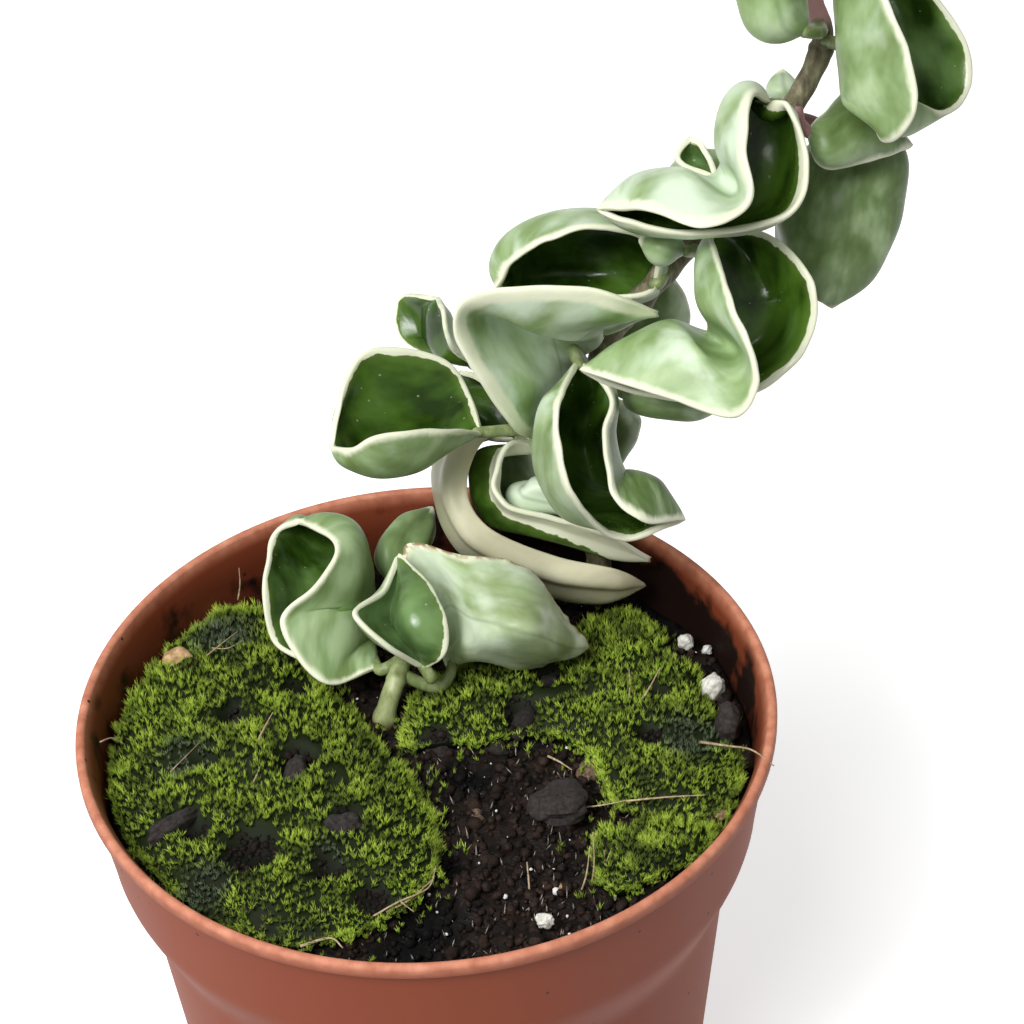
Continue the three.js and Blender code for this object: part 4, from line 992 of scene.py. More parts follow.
class RopePlantLeafSettings(bpy.types.PropertyGroup):
    """Sizes and colours of the leaves."""

    thickness: length_property("Thickness", "Thickness of a leaf at its middle", 1.35)
    edge_share: FloatProperty(name="Edge share", subtype="FACTOR", default=0.66, min=0.2, max=1.0,
                              description="Thickness at the margin, of the middle")
    upper_colour: colour_property("Upper side", "Deep green of the upper side", "#223a0a")
    upper_light: colour_property("Upper side, lighter", "Its lighter green", "#486a1f")
    under_colour: colour_property("Underside", "Sage of the underside", "#8fa973")
    milk_colour: colour_property("Milky patches", "Colour of the milky patches", "#d8e8d0")
    margin_colour: colour_property("Margin", "Cream of the margin", "#e9ecd0")
    old_colour: colour_property("Old leaf", "Colour of an old leaf", "#e6dfc2")


class RopePlantStageSettings(bpy.types.PropertyGroup):
    """The floor and the light."""

    floor_colour: colour_property("Floor", "Colour of the floor", "#f4f4f4")
    floor_glow: FloatProperty(name="Floor glow", description="Light that the floor gives off",
                              default=0.52)
    sky_strength: FloatProperty(name="Sky", description="Strength of the even light", default=0.36)
    window_power: power_property("Window", "Power of the large soft lamp", 9.0)
    pane_power: power_property("Window pane", "Power of each small crisp lamp", 1.8)


# The pot
def wall_radius(z):
    """The pot's outer radius at a height, below its bead."""
    z = np.asarray(z, float)
    body = BASE_RADIUS + (BODY_TOP_RADIUS - BASE_RADIUS) * z / BODY_TOP
    rise = (z - COLLAR_FOOT) / COLLAR_HEIGHT
    collar = COLLAR_FOOT_RADIUS + (COLLAR_TOP_RADIUS - COLLAR_FOOT_RADIUS) * rise
    step = smooth((z - BODY_TOP) / STEP_HEIGHT)
    neck = BODY_TOP_RADIUS + (COLLAR_FOOT_RADIUS - BODY_TOP_RADIUS) * step
    return np.where(z <= BODY_TOP, body, np.where(z >= COLLAR_FOOT, collar, neck))


def rounded_corner(radius, height, ease, steps):
    """Rings round the outer lower corner of a ring, eased by a quarter circle."""
    return [(radius - ease * (1 - math.sin(a)), height + ease * (1 - math.cos(a)))
            for a in np.linspace(0, math.pi / 2, steps)]


def pot_rings():
    """Radius and height of each ring of the pot, up its outside, over the bead, down its inside."""
    heights = [BODY_TOP * k / 4 for k in range(1, 5)]
    heights += [BODY_TOP + STEP_HEIGHT * k / 10 for k in range(1, 11)]
    heights += [COLLAR_FOOT + (LIP_FOOT - COLLAR_FOOT) * k / 4 for k in range(1, 5)]
    outside = rounded_corner(BASE_RADIUS, 0, BASE_CORNER, 5)
    outside += [(float(wall_radius(z)), z) for z in heights]
    bead = rounded_corner(RIM_RADIUS, LIP_FOOT, BEAD_CORNER, 4)
    half = LIP_WIDTH / 2
    crown = [(RIM_RADIUS - half + half * math.cos(a), POT_HEIGHT - half + half * math.sin(a))
             for a in np.linspace(0, math.pi, 13)]
    inside = [(float(wall_radius(z)) - WALL, z) for z in heights[::-1] if z > FLOOR]
    return outside + bead + crown + inside + [(float(wall_radius(FLOOR)) - WALL, FLOOR)]


def rising_rings(name, rings, sides):
    """A closed round solid: a disc is extruded and resized from ring to ring."""
    radius, height = rings[0]
    piece = primitive("circle", name, vertices=sides, radius=radius * MM, fill_type="NGON",
                      location=(0, 0, height * MM))

    def rise():
        for (radius, height), (wider, higher) in zip(rings, rings[1:]):
            bpy.ops.mesh.extrude_region_move(
                TRANSFORM_OT_translate={"value": (0, 0, (higher - height) * MM)})
            share = wider / radius
            bpy.ops.transform.resize(value=(share, share, 1), center_override=(0, 0, higher * MM))
        bpy.ops.mesh.select_all(action="SELECT")

    edit_all(settle(piece), rise, FACE_OUT)
    return piece


def drain_cutter():
    """Six short bars through the pot's floor."""
    bars = []
    for k in range(DRAIN_HOLE_COUNT):
        angle = 2 * math.pi * k / DRAIN_HOLE_COUNT
        x, y = DRAIN_HOLE_CIRCLE * math.cos(angle) * MM, DRAIN_HOLE_CIRCLE * math.sin(angle) * MM
        bars.append(primitive("cylinder", f"drain_bar_{k}", vertices=40, location=(x, y, 0),
                              radius=DRAIN_HOLE_RADIUS * MM, depth=4 * FLOOR * MM))
    return settle(join(bars, "drain_bars"))


def make_pot(settings):
    """The nursery pot: a thin wall with a bead, a collar, a step in and six drain holes."""
    pot = rising_rings("nursery_pot", pot_rings(), settings.sides)
    cutter = drain_cutter()
    apply_modifier(pot, "BOOLEAN", operation="DIFFERENCE", object=cutter, solver="EXACT")
    bpy.data.objects.remove(cutter)
    pot.data.materials.clear()
    pot.data.materials.append(moulded_polypropylene(settings))
    x, y, z = corners_of(pot).T
    inner = np.hypot(x, y) < wall_radius(np.clip(z, 0, LIP_FOOT)) - WALL * 0.6
    put(pot, "inside", inner & (z > FLOOR - 0.1) & (z < POT_HEIGHT - 1.0))
    only(pot)
    bpy.ops.object.shade_smooth_by_angle(angle=SHARP_ANGLE)
    finish(pot, "pot_plastic", "pot")


# The soil
SOIL_EDGE = float(wall_radius(SOIL_LEVEL)) - SOIL_INSET


def soil_top(x, y):
    """The height of the soil's top: a low dome, a little higher at the front, with soft bumps."""
    inner = COLLAR_TOP_RADIUS - WALL
    dome = SOIL_DOME * (1 - (x * x + y * y) / (inner * inner))
    lean = (-SOIL_FRONT_RISE * y) / inner
    bump = np.sin(x * 0.23 + 1) * np.cos(y * 0.19) + 0.6 * np.sin(x * 0.41 - y * 0.37)
    return SOIL_LEVEL + dome + lean + SOIL_BUMP * bump


def near_marks(spots, marks):
    """1 at the middle of a mark on the soil or moss, fading to 0 beyond its radius."""
    near = np.zeros(spots.shape[:-1])
    for x, y, radius in marks:
        middle = place_over_soil(x, y, 3)[:2]
        near = np.maximum(near, smooth(1.5 - np.linalg.norm(spots - middle, axis=-1) / radius))
    return near


def crumbled(x, y):
    """The soil's top with its clods and crumbs."""
    places = np.stack([x, y], axis=-1)
    clods = 0.35 * waves(places, 7.0, 3) + 0.28 * waves(places, 3.2, 4)
    crumbs = 0.2 * waves(places, 1.7, 5)
    inland = 1 - smooth((np.hypot(x, y) / SOIL_EDGE - 0.9) / 0.1)
    dip = 1.6 * near_marks(places, SOIL_HOLLOWS)
    return soil_top(x, y) - 0.25 + (clods + crumbs - dip) * inland


def make_soil(settings):
    """The soil: one filling of the pot, with crumbs, pale flecks and rootlets on its top."""
    heights = [FLOOR + CLEARANCE, *(BODY_TOP + STEP_HEIGHT * k / 4 for k in range(4)),
               COLLAR_FOOT, SOIL_LEVEL - 3]
    rings = [(float(wall_radius(z)) - SOIL_INSET, z) for z in heights]
    shares = np.linspace(1, 0.012, fine(SOIL_RING_COUNT))
    rings += [(SOIL_EDGE * share, ABOVE_ALL) for share in shares]
    soil = rising_rings("potting_soil", rings, fine(SOIL_SIDES))
    corners = corners_of(soil)
    top = corners[:, 2] > ABOVE_ALL - 1
    corners[top, 2] = crumbled(corners[top, 0], corners[top, 1])
    set_corners(soil, corners)
    # Painted shade: the soil darkens to near black in its hollows
    put(soil, "damp", near_marks(corners[:, :2], SOIL_HOLLOWS))
    soil.data.materials.append(damp_peat("Damp_peat", "#080605", "#211712"))
    shade_smooth(soil)
    finish(soil, "potting_soil", "soil")
    make_crumbs(settings)
    make_flecks(settings)


def crumb_shape(seed):
    """One crumb: a rough lump of twenty faces."""
    crumb = primitive("ico_sphere", "crumb", subdivisions=1, radius=MM)
    corners = corners_of(crumb)
    set_corners(crumb, corners * np.random.default_rng(seed).uniform(0.7, 1.25, (len(corners), 1)))
    return shape_of(crumb)


def spike_shape(sides):
    """One thin closed spike, a unit high and a unit in half width."""
    return shape_of(settle(primitive("cone", "spike", vertices=sides, radius1=MM, radius2=0,
                                     depth=MM, location=(0, 0, MM / 2))))


def spread_on_soil(random, count, keep):
    """Random places on the soil's disc that pass a test of x and y."""
    found = np.zeros((0, 2))
    while len(found) < count:
        trial = random.uniform(-SOIL_EDGE, SOIL_EDGE, (4 * count + 50, 2))
        trial = trial[np.hypot(*trial.T) < SOIL_EDGE - 0.8]
        found = np.vstack([found, trial[keep(*trial.T, random)]])
    return found[:count]


def bare_soil(x, y, random):
    """True where no moss grows, and for a few places among the moss."""
    return (moss_cover(x, y) < 0.5) | (random.uniform(size=len(x)) < 0.06)


def make_crumbs(settings):
    """Loose crumbs of peat on the bare soil."""
    random = np.random.default_rng(11)
    count = settings.crumb_count // fine(CRUMB_SHARE)
    spots = spread_on_soil(random, count, bare_soil)
    radii = settings.crumb_radius / MM * np.exp(random.normal(0, 0.45, count))
    places = np.column_stack([spots, crumbled(*spots.T) + radii * 0.35])
    turns = turned(random.normal(size=(count, 3)), spins(random, count), radii,
                   radii * random.uniform(0.6, 1.2, count))
    # The crumbs darken with painted shade in the soil's hollows
    finish(copies("soil_crumbs", crumb_shape(5), turns, places,
                  damp_peat("Peat_crumbs", "#0a0706", "#33241d"),
                  damp=near_marks(spots, SOIL_HOLLOWS)[:, None]), "potting_soil")


def make_flecks(settings):
    """White perlite dust and pale rootlet tips among the crumbs."""
    random = np.random.default_rng(23)
    count = settings.fleck_count
    spots = spread_on_soil(random, count, bare_soil)
    radii = 0.22 * np.exp(random.normal(0, 0.5, count))
    places = np.column_stack([spots, crumbled(*spots.T) + 0.55])
    turns = turned(random.normal(size=(count, 3)), spins(random, count), radii, radii)
    finish(copies("perlite_dust", crumb_shape(9), turns, places,
                  crumbly("Perlite_dust", "#d8d6cf", "#f6f5f0", 0.3, 0.85)), "perlite")

    count *= 2
    spots = spread_on_soil(random, count, lambda x, y, r: (y < 2) & (moss_cover(x, y) < 0.5))
    lean = np.column_stack([random.normal(0, 0.3, (count, 2)), np.ones(count)])
    turns = turned(lean, spins(random, count), random.uniform(0.1, 0.2, count),
                   random.uniform(0.8, 2.2, count))
    places = np.column_stack([spots, crumbled(*spots.T) + 0.1])
    finish(copies("rootlet_tips", spike_shape(5), turns, places,
                  crumbly("Root_hairs", "#6d6058", "#b9b2a8", 0.6, 0.7)), "potting_soil")


# The moss
def moss_spot(moss, angles, shares):
    """Places on a cushion, at an angle round its centre and a share of the way to its border."""
    centre = np.array(moss["centre"])
    border = closed_through(moss["outline"], np.asarray(angles) / (2 * math.pi))
    spots = centre + (border - centre) * np.asarray(shares)[:, None]
    limit = float(wall_radius(SOIL_LEVEL)) - WALL - MOSS_WALL_GAP
    far = np.hypot(*spots.T)[:, None]
    return np.where(far > limit, spots * limit / np.maximum(far, 1e-6), spots)


def inside_outline(x, y, outline):
    """True for each place inside a closed outline."""
    crossings = np.zeros(np.shape(x), int)
    for (x0, y0), (x1, y1) in zip(outline, np.roll(outline, -1, axis=0)):
        rise = y1 - y0 if abs(y1 - y0) > 1e-9 else 1e-9
        crossings += ((y0 > y) != (y1 > y)) & (x < (x1 - x0) * (y - y0) / rise + x0)
    return crossings % 2 == 1


def moss_cover(x, y):
    """1 where a moss cushion grows and 0 on bare soil."""
    around = np.linspace(0, 1, 80, endpoint=False)
    return np.max([inside_outline(x, y, closed_through(moss["outline"], around))
                   for moss in MOSS.values()], axis=0).astype(float)


def moss_top(moss, spots, shares):
    """The height of a cushion's top: domed, lumpy and a little ragged."""
    height, seed = moss["height"], moss["seed"]
    x, y = spots.T
    lump = 0.7 * np.sin(x * 0.55 + seed) * np.cos(y * 0.48 - seed)
    rise = np.sqrt(np.clip(1 - shares * shares, 0, 1))
    ragged = (0.3 * waves(spots, 3.0, seed) + 0.6 * waves(spots, 8.0, seed)) * rise
    raised = (height + lump) * rise + ragged
    return soil_top(x, y) + MOSS_SEAT + 0.6 + raised * (1 - 0.85 * near_marks(spots, MOSS_HOLES))


def moss_pad(name, moss, material):
    """The cushion below the shoots: a disc raised and drawn in, ring by ring."""
    shares = np.concatenate([[1.0], np.sin(np.linspace(math.pi / 2, 0.03, 22))])
    pad = rising_rings(name, list(zip(shares, np.arange(len(shares), dtype=float))), PAD_SIDES)
    x, y, level = corners_of(pad).T
    far = np.clip(np.hypot(x, y), 0, 1)
    spots = moss_spot(moss, np.mod(np.arctan2(y, x), 2 * math.pi), far)
    heights = np.where(level < 0.5, soil_top(*spots.T) + 0.2, moss_top(moss, spots, far))
    set_corners(pad, np.column_stack([spots, heights]))
    # Painted shade: the pad under the shoots takes the near-black foot colour, and is black in the
    # open places
    put(pad, "tip", 0.03 * (1 - near_marks(spots, MOSS_HOLES)))
    put(pad, "luck", 0.5)
    put(pad, "grey", 0.0)
    pad.data.materials.append(material)
    shade_smooth(pad)
    return pad


def moss_shoots(moss, spacing, random):
    """Evenly scattered places for shoots on a cushion, with their shares of the way out."""
    tries = int(9000 * (0.86 / spacing) ** 2) * 4
    angles = random.uniform(0, 2 * math.pi, tries)
    shares = np.sqrt(random.uniform(0, 1, tries))
    spots = moss_spot(moss, angles, shares)
    centre = np.array(moss["centre"])
    here, ahead = (closed_through(moss["outline"], angles / (2 * math.pi) + step) - centre
                   for step in (0, 1e-3))
    area = np.abs(here[:, 0] * ahead[:, 1] - here[:, 1] * ahead[:, 0])
    wanted = random.uniform(size=tries) < area / area.max()
    cells, kept = {}, []
    for k in np.flatnonzero(wanted):
        x, y = spots[k]
        cell = (int(x // spacing), int(y // spacing))
        near = (cells.get((cell[0] + i, cell[1] + j)) for i in (-1, 0, 1) for j in (-1, 0, 1))
        if all(n is None or math.dist(spots[n], (x, y)) >= spacing * 0.8 for n in near):
            cells[cell] = k
            kept.append(k)
    return spots[kept], shares[kept]


def clear_of_bits(spots):
    """True for each place that no bark chip, stone or perlite grain lies on."""
    clear = np.ones(len(spots), bool)
    for x, y, wide, deep, _, turn, *_ in BITS.values():
        across, along = rolled(spots - (x, y), -turn).T
        clear &= np.hypot(across / (wide + 0.3), along / (deep + 0.3)) > 1
    return clear


def moss_fringe(moss, random):
    """Feet and leans of the shoots that hang over a cushion's side, and of strays beside it."""
    border = closed_through(moss["outline"], np.linspace(0, 1, 400, endpoint=False))
    ahead = np.roll(border, -1, axis=0) - np.roll(border, 1, axis=0)
    outward = unit(np.column_stack([ahead[:, 1], -ahead[:, 0]]))
    pick = random.integers(0, len(border), int(2.6 * np.linalg.norm(ahead, axis=1).sum()))
    stray = random.uniform(size=len(pick)) < 0.3
    gap = np.where(stray, random.exponential(1.3, len(pick)), -0.25)
    spots = border[pick] + outward[pick] * gap[:, None]
    spots *= np.minimum(1, (SOIL_EDGE - 1.1) / np.maximum(np.hypot(*spots.T), 1e-6))[:, None]
    stray &= moss_cover(*spots.T) < 0.5
    low = soil_top(*spots.T) + 0.3
    height = np.where(stray, low, low + random.uniform(0, 1.3, len(pick)))
    lean = outward[pick] * np.where(stray, 0.2, 0.9)[:, None]
    lean += random.normal(0, 0.25, (len(pick), 2))
    clear = clear_of_bits(spots) & (random.uniform(size=len(pick)) > near_marks(spots, MOSS_HOLES))
    return spots[clear], height[clear], lean[clear]


def make_hole_crumbs(name, spots, levels, random):
    """Crumbs of peat that show where a cushion is open, darkened with painted shade."""
    count = len(spots)
    radii = 0.5 * np.exp(random.normal(0, 0.35, count))
    turns = turned(random.normal(size=(count, 3)), spins(random, count), radii, radii * 0.8)
    finish(copies(name + "_open", crumb_shape(7), turns, np.column_stack([spots, levels]),
                  damp_peat("Peat_in_moss", "#080605", "#2b1f19"), damp=0.35), "potting_soil")


def make_moss(settings):
    """The moss cushions, each with its shoots: stars of fine needles, dark below, fresh above."""
    material = living_moss(settings)
    needle = spike_shape(3)
    needles = fine(NEEDLES_PER_SHOOT)
    spacing = settings.spacing / MM * fine(SHOOT_SPACING_SHARE)
    for name, moss in MOSS.items():
        seed = moss["seed"]
        random = np.random.default_rng(seed)
        pad = moss_pad(name + "_pad", moss, material)
        spots, shares = moss_shoots(moss, spacing, random)
        free = clear_of_bits(spots)
        hollow = near_marks(spots, MOSS_HOLES)
        clear = free & (random.uniform(size=len(spots)) > 1.3 * hollow)
        thin = 0.5 + 0.5 * waves(spots, 9.0, seed + 40)
        clear &= random.uniform(size=len(spots)) < 0.66 + 0.5 * thin
        holes = (hollow > 0.35) & free & ~clear & (shares < 0.96)
        make_hole_crumbs(name, spots[holes], moss_top(moss, spots, shares)[holes], random)

        # Where each shoot stands, and how it leans
        spots, shares = spots[clear], shares[clear]
        outward = unit(spots - np.array(moss["centre"])) * (shares**4)[:, None] * 0.9
        lean = outward + random.normal(0, 0.22, (len(spots), 2))
        level = moss_top(moss, spots, shares) - 0.15
        side_spots, side_level, side_lean = moss_fringe(moss, random)
        spots, level = np.vstack([spots, side_spots]), np.concatenate([level, side_level])
        stand = unit(np.column_stack([np.vstack([lean, side_lean]), np.ones(len(spots))]))
        foot = np.column_stack([spots, level])

        # How tall and how grey each shoot is
        count = len(spots)
        vigour = 0.5 + 0.5 * waves(spots, 6.0, seed + 60)
        grey = near_marks(spots, MOSS_GREYS)
        tall = (0.2 + 0.8 * random.uniform(size=count) ** 1.2) * (0.4 + 0.6 * vigour)
        tall *= 1 - 0.5 * grey

        # The needles of all shoots
        each = np.repeat(np.arange(count), needles)
        angle = random.uniform(0, 2 * math.pi, len(each))
        open_out = random.uniform(0.1, 1.0, len(each)) ** 1.3
        spread = np.column_stack([np.cos(angle) * open_out, np.sin(angle) * open_out,
                                  np.ones(len(each))])
        length = settings.needle_length / MM * random.uniform(0.6, 1.2, len(each))
        length *= 0.7 + 0.5 * tall[each]
        climb = random.uniform(0.0, 1.3, len(each)) * tall[each]
        turns = turned(unit(spread) + stand[each] * 0.6, spins(random, len(each)),
                       np.full(len(each), settings.needle_width / MM), length)
        # Low needles take the near-black foot colour: partly old growth, partly painted shade
        tips = np.clip(0.1 + 0.42 * climb[:, None] + needle[0][:, 2] * 0.62, 0, 1)
        luck = np.repeat(random.uniform(0.0, 0.5, count) + 0.45 * (1 - vigour), needles)[:, None]
        shoots = copies(name + "_shoots", needle, turns, foot[each] + stand[each] * climb[:, None],
                        material, tip=tips, luck=luck, grey=grey[each][:, None])
        finish(join([pad, shoots], name + "_cushion"), "living_moss", name)


# The loose bits on the soil: each kind's material, its two tones, the size of its grain in mm and
# its roughness, and its slot
BIT_FINISH = {
    "stone": ("Water_worn_stone", "#8f6a45", "#d9b488", 1.2, 0.8, "pebble_stone"),
    "perlite": ("Expanded_perlite", "#b9b5aa", "#f4f2ea", 0.9, 0.9, "perlite"),
    "bark": ("Composted_bark", "#120e0d", "#3a322f", 0.8, 0.85, "bark_chip"),
}
CLOD_FINISH = {
    "peat": ("Peat_clod", "#060504", "#2a211d", 0.6, 0.9, "potting_soil"),
    "bark": ("Brown_bark_clod", "#2c1f17", "#8a6f57", 0.7, 0.85, "bark_chip"),
    "grit": ("Tan_grit", "#6d5138", "#c2a27c", 0.7, 0.8, "pebble_stone"),
    "grain": ("Perlite_grain", "#c9c7c0", "#f7f6f1", 0.4, 0.85, "perlite"),
}


def lump(name, subdivisions, roughened, size, turn, middle, material):
    """A ball roughened by a function, sized in mm, turned in degrees and set down at its place."""
    piece = primitive("ico_sphere", name, subdivisions=subdivisions, radius=MM)
    set_corners(piece, middle + rolled(roughened(corners_of(piece)) * size, turn))
    piece.data.materials.append(material)
    shade_smooth(piece)
    return piece


def make_bits():
    """The larger loose bits: a pebble, perlite grains and bark chips."""
    finishes = {kind: crumbly(*values[:5]) for kind, values in BIT_FINISH.items()}
    for name, (x, y, *size, turn, seed, kind) in BITS.items():

        def roughened(ball):
            rough = 1 + 0.13 * waves(ball, 1.5, seed) + 0.07 * waves(ball, 0.6, seed + 1)
            if kind == "bark":
                rough += 0.05 * waves(ball * [0.4, 2.4, 2.4], 0.8, seed + 2)
            return np.sign(ball) * np.abs(ball) ** 0.85 * rough[:, None] * 0.93

        middle = (x, y, float(soil_top(x, y)) + BIT_SEAT + size[2])
        piece = lump(name + "_lump", 4, roughened, size, turn, middle, finishes[kind])
        finish(piece, BIT_FINISH[kind][5], name)


def make_clods():
    """The smaller clods, grit and perlite grains, joined by what they are."""
    for kind, rows in CLODS.items():
        material = crumbly(*CLOD_FINISH[kind][:5])
        pieces = []
        for index, x, y, up, *size, turn in rows:

            def roughened(ball):
                rough = 1 + 0.2 * waves(ball, 1.3, 60 + index) + 0.12 * waves(ball, 0.5, 90 + index)
                return ball * rough[:, None]

            middle = place_over_soil(x, y, up)
            pieces.append(lump("clod", 3, roughened, size, turn, middle, material))
        finish(join(pieces, f"small_{kind}"), CLOD_FINISH[kind][5])


def make_strands():
    """Dry grass stems and rootlets that lie on the moss and the soil."""
    straw = crumbly("Dry_grass_stem", "#8a6f4e", "#cbb89a", 0.8, 0.6)
    shares = np.linspace(0, 1, STRAND_STEPS)
    pieces = []
    for radius, *points in STRANDS:
        places = [place_over_soil(*point) for point in points]
        taper = np.linspace(1.0, 0.45, len(shares)) * radius
        pieces.append(tube("strand", through(places, shares), taper, 0, straw))
    finish(join(pieces, "dry_strands"), "bark_chip")


# The stems
VINE_LINE = [place_of(point) for point in VINE_PATH]
SHOOT_LINE = [place_of(point) for point in SHOOT_PATH]
VINE_NODES = (0.2, 0.31, 0.4, 0.49, 0.575, 0.655, 0.745, 0.93)


def make_stem(name, path, radii, blush, skin, slot, node):
    """A stem along a path, with its radius and its blush at each place of it."""
    stem = tube(name, path, radii, 5, skin)
    nearest = [np.argmin(((path - corner) ** 2).sum(1)) for corner in corners_of(stem)]
    put(stem, "blush", blush[nearest])
    finish(stem, slot, node)


def make_stems():
    """The corky old vine with its swollen joints, and the smooth young side shoot."""
    bark = stem_skin("Corky_vine_bark", ("#453f2e", "#746d52", "#a29c80", "#dca4ab"), 1.1, 0.7)
    shares = np.linspace(0, 1, VINE_STEPS)
    path = through(VINE_LINE, shares)
    swell = sum(np.exp(-(((shares - at) / 0.006) ** 2)) for at in VINE_NODES)
    wander = 1 + 0.045 * waves(path, 3.5, 2) + 0.03 * waves(path, 1.4, 3)
    radii = (VINE_FOOT_RADIUS + (VINE_TOP_RADIUS - VINE_FOOT_RADIUS) * shares) * wander
    make_stem("vine", path, radii + 0.35 * swell, smooth((shares - 0.775) / 0.03), bark,
              "woody_stem", "vine_stem")

    skin = stem_skin("Young_shoot_skin", ("#6b7446", "#8f9a68", "#b3ba8c", "#6a4a33"), 2.2, 0.45)
    shares = np.linspace(0, 1, SHOOT_STEPS)
    swell = np.exp(-(((shares - 0.23) / 0.05) ** 2)) + 0.4 * np.exp(-(((shares - 0.6) / 0.03) ** 2))
    radii = SHOOT_RADIUS * (1 - 0.15 * shares) + 0.4 * swell
    make_stem("shoot", through(SHOOT_LINE, shares), radii, 1 - smooth((shares - 0.16) / 0.12), skin,
              "green_stem", "side_shoot_stem")


# The leaves. A leaf has a foot on its stem, a base, a tip, and rows of left margin, rib, right
# margin and how far its halves bow out, all as places in mm.
def leaf_from_view(leaf):
    """A leaf of the table with its view points turned to places."""
    rows = [(place_of(left), place_of(rib), place_of(right), bows)
            for left, rib, right, bows in leaf["rows"]]
    return {"foot": place_of(leaf["foot"]), "base": place_of(leaf["base"]),
            "tip": place_of(leaf["tip"]), "rows": rows}


def drawn(seed, step):
    """A repeatable number from 0 to 1 for a seed and a step."""
    raw = math.sin(seed * 127.1 + step * 311.7) * 43758.5453
    return raw - math.floor(raw)


def leaf_behind(along, turn, length, width, sway, rising, seed):
    """A folded leaf on the far side of the vine: its rib lies along the vine and it cups away."""
    anchor = through(VINE_LINE, np.array([along]))[0]
    ends = through(VINE_LINE, np.array([max(0, along - 1e-4), min(1, along + 1e-4)]))
    up = unit(ends[1] - ends[0])
    front = np.array(SHEET_OUT)
    front = unit(front - up * (front @ up))
    out = np.array(Matrix.Rotation(math.radians(turn), 3, Vector(up)) @ Vector(front))
    side = np.cross(up, out)
    heading = 1 if rising else -1
    lift = 2 if rising else -3

    def point(travel, reach, shift):
        return anchor + up * heading * travel + out * reach + side * shift

    rows = []
    for k, u in enumerate((0.16, 0.45, 0.78)):
        half = width / 2 * math.sin(math.pi * u**0.8)
        reach = 5.5 + 3 * math.sin(math.pi * u)
        travel, shift = length * u + lift, sway * u * u
        cups = [half * (0.5 + 0.5 * drawn(seed + add, k)) for add in (0, 9)]
        rows.append((point(travel, reach + cups[0], shift - heading * half * 0.9),
                     point(travel, reach, shift),
                     point(travel, reach + cups[1], shift + heading * half * 0.9),
                     (half * 0.25, half * 0.25)))
    return {"foot": anchor + up * (-2 if rising else 0), "base": point(1.5 if rising else -4, 5, 0),
            "tip": point(length + lift, 8, sway * 1.4), "rows": rows}


def blade_places(leaf, row_count, column_count):
    """Places over a blade, row by row from its base to its tip, left margin to right margin."""
    base, tip, rows = leaf["base"], leaf["tip"], leaf["rows"]
    shares = np.linspace(0, 1, row_count + 1)
    lines = [np.vstack([base, [row[k] for row in rows], tip]) for k in range(3)]
    left, rib, right = (through(line, shares) for line in lines)
    bows = through(np.array([(0, 0), *[row[3] for row in rows], (0, 0)], float), shares)
    ahead = [through(line, shares + 1e-3) - through(line, shares - 1e-3) for line in lines]
    left_out = unit(np.cross(left - rib, ahead[0] + ahead[1]))
    right_out = unit(np.cross(ahead[2] + ahead[1], right - rib))
    left_mid = (left + rib) / 2 + left_out * bows[:, :1]
    right_mid = (right + rib) / 2 + right_out * bows[:, 1:]
    across = np.linspace(0, 1, column_count + 1)
    return np.array([through(row, across) for row in zip(left, left_mid, rib, right_mid, right)])


def grid_normals(grid):
    """Directions off a blade's surface, towards its underside."""
    along, across = np.gradient(grid, axis=0), np.gradient(grid, axis=1)
    along[0], along[-1] = along[1], along[-2]
    across[0], across[-1] = across[1], across[-2]
    return unit(np.cross(along, across))


